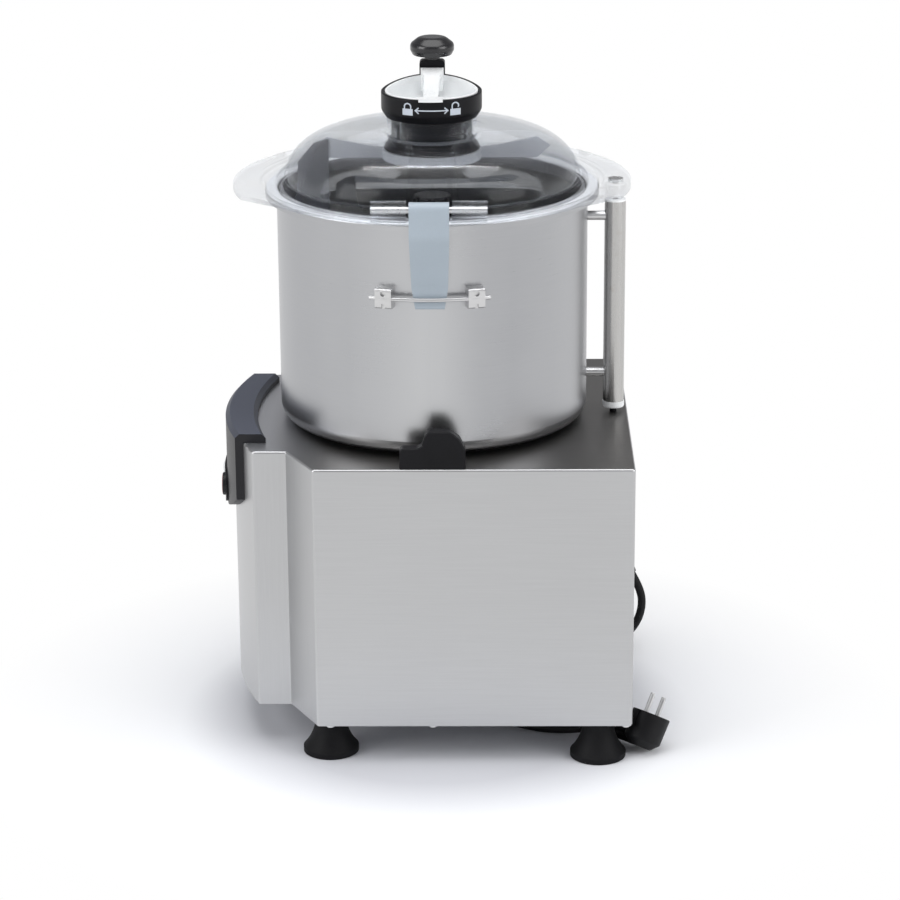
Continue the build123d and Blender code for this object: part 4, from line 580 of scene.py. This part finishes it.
def sign(name, strokes, plates=()):
    """Thin sign wrapped round the ring: strokes are lines of (across, height) points, plates are filled."""
    outlines = [list(plate) for plate in plates]
    for stroke in strokes:
        for start, end in zip(stroke, stroke[1:]):
            run = Vector(end) - Vector(start)
            parts = max(1, round(run.length / SIGN_STEP))
            side = Vector((-run.y, run.x)).normalized() * SIGN_LINE / 2
            reach = run.normalized() * SIGN_LINE / 2
            first, last = Vector(start) - reach, Vector(end) + reach
            for part in range(parts):
                a = first.lerp(last, part / parts)
                b = first.lerp(last, (part + 1) / parts)
                outlines.append([a - side, b - side, b + side, a + side])
    vertices, faces = [], []
    for outline in outlines:
        front, rear = [], []
        for across, height in outline:
            for group, proud in ((front, SIGN_THICKNESS), (rear, -SIGN_THICKNESS)):
                radius = SIGN_RADIUS + proud
                group.append(len(vertices))
                vertices.append((math.sqrt(radius ** 2 - across ** 2), across, height))
        count = len(front)
        faces.append(front)
        faces.append(rear[::-1])
        for index in range(count):
            turn = (index + 1) % count
            faces.append((front[turn], front[index], rear[index], rear[turn]))
    made = linked(name, vertices, faces)
    data = bmesh.new()
    data.from_mesh(made.data)
    bmesh.ops.recalc_face_normals(data, faces=data.faces)
    data.to_mesh(made.data)
    data.free()
    return made


def arc(centre, radius, start, end, steps=10):
    """Points along an arc, angles in degrees."""
    points = []
    for index in range(steps + 1):
        angle = math.radians(start + (end - start) * index / steps)
        points.append((centre[0] + radius * math.cos(angle), centre[1] + radius * math.sin(angle)))
    return points


def box_outline(left, right, low, high, steps=8):
    """Filled box as narrow upright plates, so that it follows the curve."""
    step = (right - left) / steps
    return [[(left + step * index, low), (left + step * (index + 1), low), (left + step * (index + 1), high),
             (left + step * index, high)] for index in range(steps)]


def padlock(name, left, right, hoop_left, hoop_rise, hoop_end, foot):
    """Padlock sign: a filled body and a hoop that rises from its left side; foot ends the hoop."""
    hoop_centre = (hoop_left + HOOP_RADIUS, hoop_rise)
    hoop = [(hoop_left, LOCK_TOP), (hoop_left, hoop_rise)]
    hoop += arc(hoop_centre, HOOP_RADIUS, 180, hoop_end) + foot
    return sign(name, [hoop], box_outline(left, right, LOCK_FOOT, LOCK_TOP))


def double_arrow(name):
    """Level line with an open arrow head at each end."""
    strokes = [[(ARROW_LEFT, ARROW_HEIGHT), (ARROW_RIGHT, ARROW_HEIGHT)]]
    for tip, inward in ((ARROW_LEFT, ARROW_HEAD), (ARROW_RIGHT, -ARROW_HEAD)):
        strokes.append([(tip + inward, ARROW_HEIGHT + ARROW_SPREAD), (tip, ARROW_HEIGHT),
                        (tip + inward, ARROW_HEIGHT - ARROW_SPREAD)])
    return sign(name, strokes)


def make_ring_details():
    """Raised far rims of ring and cap, and the padlock and arrow signs on the ring."""
    ring_rim = raised_rim("ring_far_rim", **RING_RIM)
    cap_rim = raised_rim("cap_far_rim", **CAP_RIM)
    closed = padlock("sign_closed", **CLOSED_LOCK)
    turning = double_arrow("sign_turn")
    opened = padlock("sign_open", **OPEN_LOCK)
    for piece, body, slot, finish in (
        (ring_rim, "scraper", "black_plastic", "black_plastic"),
        (cap_rim, "filler_cap", "white_plastic", "white_plastic"),
        (closed, "scraper", "black_plastic", "icon_white"),
        (turning, "scraper", "black_plastic", "icon_white"),
        (opened, "scraper", "black_plastic", "icon_white"),
    ):
        paint(piece, finish)
        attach(piece, body)


make_ring_details()


# ------------------------------------------------------------------ stage and light
FLOOR_SIZE = 12.0
FLOOR_DROP = 0.0004
FLOOR_CENTRE = (0.05, 0.0, 0.0)
# Painted shadow colour of the floor close to the object, fading to the floor's own colour between the two
# shadow-fade distances.
FLOOR_PAINTED_SHADOW = (0.66, 0.67, 0.71)
FLOOR_FAR = ((0.92, 0.935, 0.97), (0.94, 0.955, 0.985))
FLOOR_SHADOW_FADE_START = 0.17
FLOOR_SHADOW_FADE_END = 0.25
FLOOR_FADE_START = 0.21
FLOOR_FADE_END = 0.46
WHITE = (1, 1, 1, 1)
SKY_STRENGTH = 0.8
SKY_TONES = ((0.0, (0.80, 0.80, 0.82, 1)), (0.25, (0.42, 0.42, 0.43, 1)), (1.0, (0.30, 0.30, 0.31, 1)))
SOFTBOXES = (
    ("left_box", (1.3, -2.3, 1.5), (0, 0, 0.35), (1.6, 1.8), 42),
    ("right_box", (1.3, 2.4, 1.5), (0, 0, 0.35), (1.6, 1.8), 38),
    ("top_box", (0.2, 0.0, 2.6), (0, 0, 0.3), (2.2, 2.2), 40),
)


def floor_material():
    """Pale floor that fades to plain white away from the object, with a painted shadow darkening it near the object
    on top of the lamps' own shadow.
    """
    m = Material("floor")
    m.set(Roughness=0.6, Specular_IOR_Level=0.2)
    cloud = m.noise(3.0, EVEN, 2.0)
    glow = m.node("ShaderNodeEmission")
    glow.inputs["Color"].default_value = WHITE
    glow.inputs["Strength"].default_value = 1.0
    centred = m.node("ShaderNodeVectorMath", operation="SUBTRACT")
    m.link(m.place, centred.inputs[0])
    centred.inputs[1].default_value = FLOOR_CENTRE
    length = m.node("ShaderNodeVectorMath", operation="LENGTH")
    m.link(centred.outputs["Vector"], length.inputs[0])
    distance = length.outputs["Value"]
    # Painted shadow: darker floor colour near the object, fading out with distance.
    pale = m.span(distance, 0.0, 1.0, FLOOR_SHADOW_FADE_START, FLOOR_SHADOW_FADE_END)
    m.colour(m.mix(pale, FLOOR_PAINTED_SHADOW, m.shades(cloud, *FLOOR_FAR)))
    m.blend_shader(m.span(distance, 0.0, 1.0, FLOOR_FADE_START, FLOOR_FADE_END), glow.outputs["Emission"])
    return m


def make_floor():
    """Level floor just under the feet."""
    half = FLOOR_SIZE / 2
    corners = [(-half, -half), (half, -half), (half, half), (-half, half)]
    floor = linked("floor", [(x, y, -FLOOR_DROP) for x, y in corners], [(0, 1, 2, 3)])
    floor.data.materials.append(floor_material().material)


def make_world():
    """White to the camera and through clear plastic; as light, pale low down and dimmer above."""
    world = bpy.data.worlds.new("studio")
    bpy.context.scene.world = world
    world.use_nodes = True
    tree = world.node_tree
    sky = tree.nodes["Background"]
    path = tree.nodes.new("ShaderNodeLightPath")
    white = tree.nodes.new("ShaderNodeBackground")
    white.inputs["Color"].default_value = WHITE
    white.inputs["Strength"].default_value = 1.0
    split = tree.nodes.new("ShaderNodeSeparateXYZ")
    tree.links.new(tree.nodes.new("ShaderNodeTexCoord").outputs["Generated"], split.inputs["Vector"])
    ramp = tree.nodes.new("ShaderNodeValToRGB")
    ramp.color_ramp.elements.new(SKY_TONES[1][0])
    for stop, (position, tone) in zip(ramp.color_ramp.elements, SKY_TONES):
        stop.position = position
        stop.color = tone
    tree.links.new(split.outputs["Z"], ramp.inputs["Fac"])
    tree.links.new(ramp.outputs["Color"], sky.inputs["Color"])
    sky.inputs["Strength"].default_value = SKY_STRENGTH
    straight = tree.nodes.new("ShaderNodeMath")
    straight.operation = "MAXIMUM"
    tree.links.new(path.outputs["Is Camera Ray"], straight.inputs[0])
    tree.links.new(path.outputs["Is Transmission Ray"], straight.inputs[1])
    mixer = tree.nodes.new("ShaderNodeMixShader")
    tree.links.new(straight.outputs["Value"], mixer.inputs["Fac"])
    tree.links.new(sky.outputs["Background"], mixer.inputs[1])
    tree.links.new(white.outputs["Background"], mixer.inputs[2])
    tree.links.new(mixer.outputs["Shader"], tree.nodes["World Output"].inputs["Surface"])


def softbox(name, place, target, size, power):
    """Rectangular area lamp aimed at a point."""
    data = bpy.data.lights.new(name, "AREA")
    data.shape = "RECTANGLE"
    data.size, data.size_y = size
    data.energy = power
    lamp = bpy.data.objects.new(name, data)
    bpy.context.scene.collection.objects.link(lamp)
    aim = (Vector(target) - Vector(place)).to_track_quat("-Z", "Y")
    lamp.matrix_world = Matrix.Translation(place) @ aim.to_matrix().to_4x4()


make_floor()
make_world()
for box in SOFTBOXES:
    softbox(*box)

bpy.context.scene.view_settings.view_transform = "Standard"
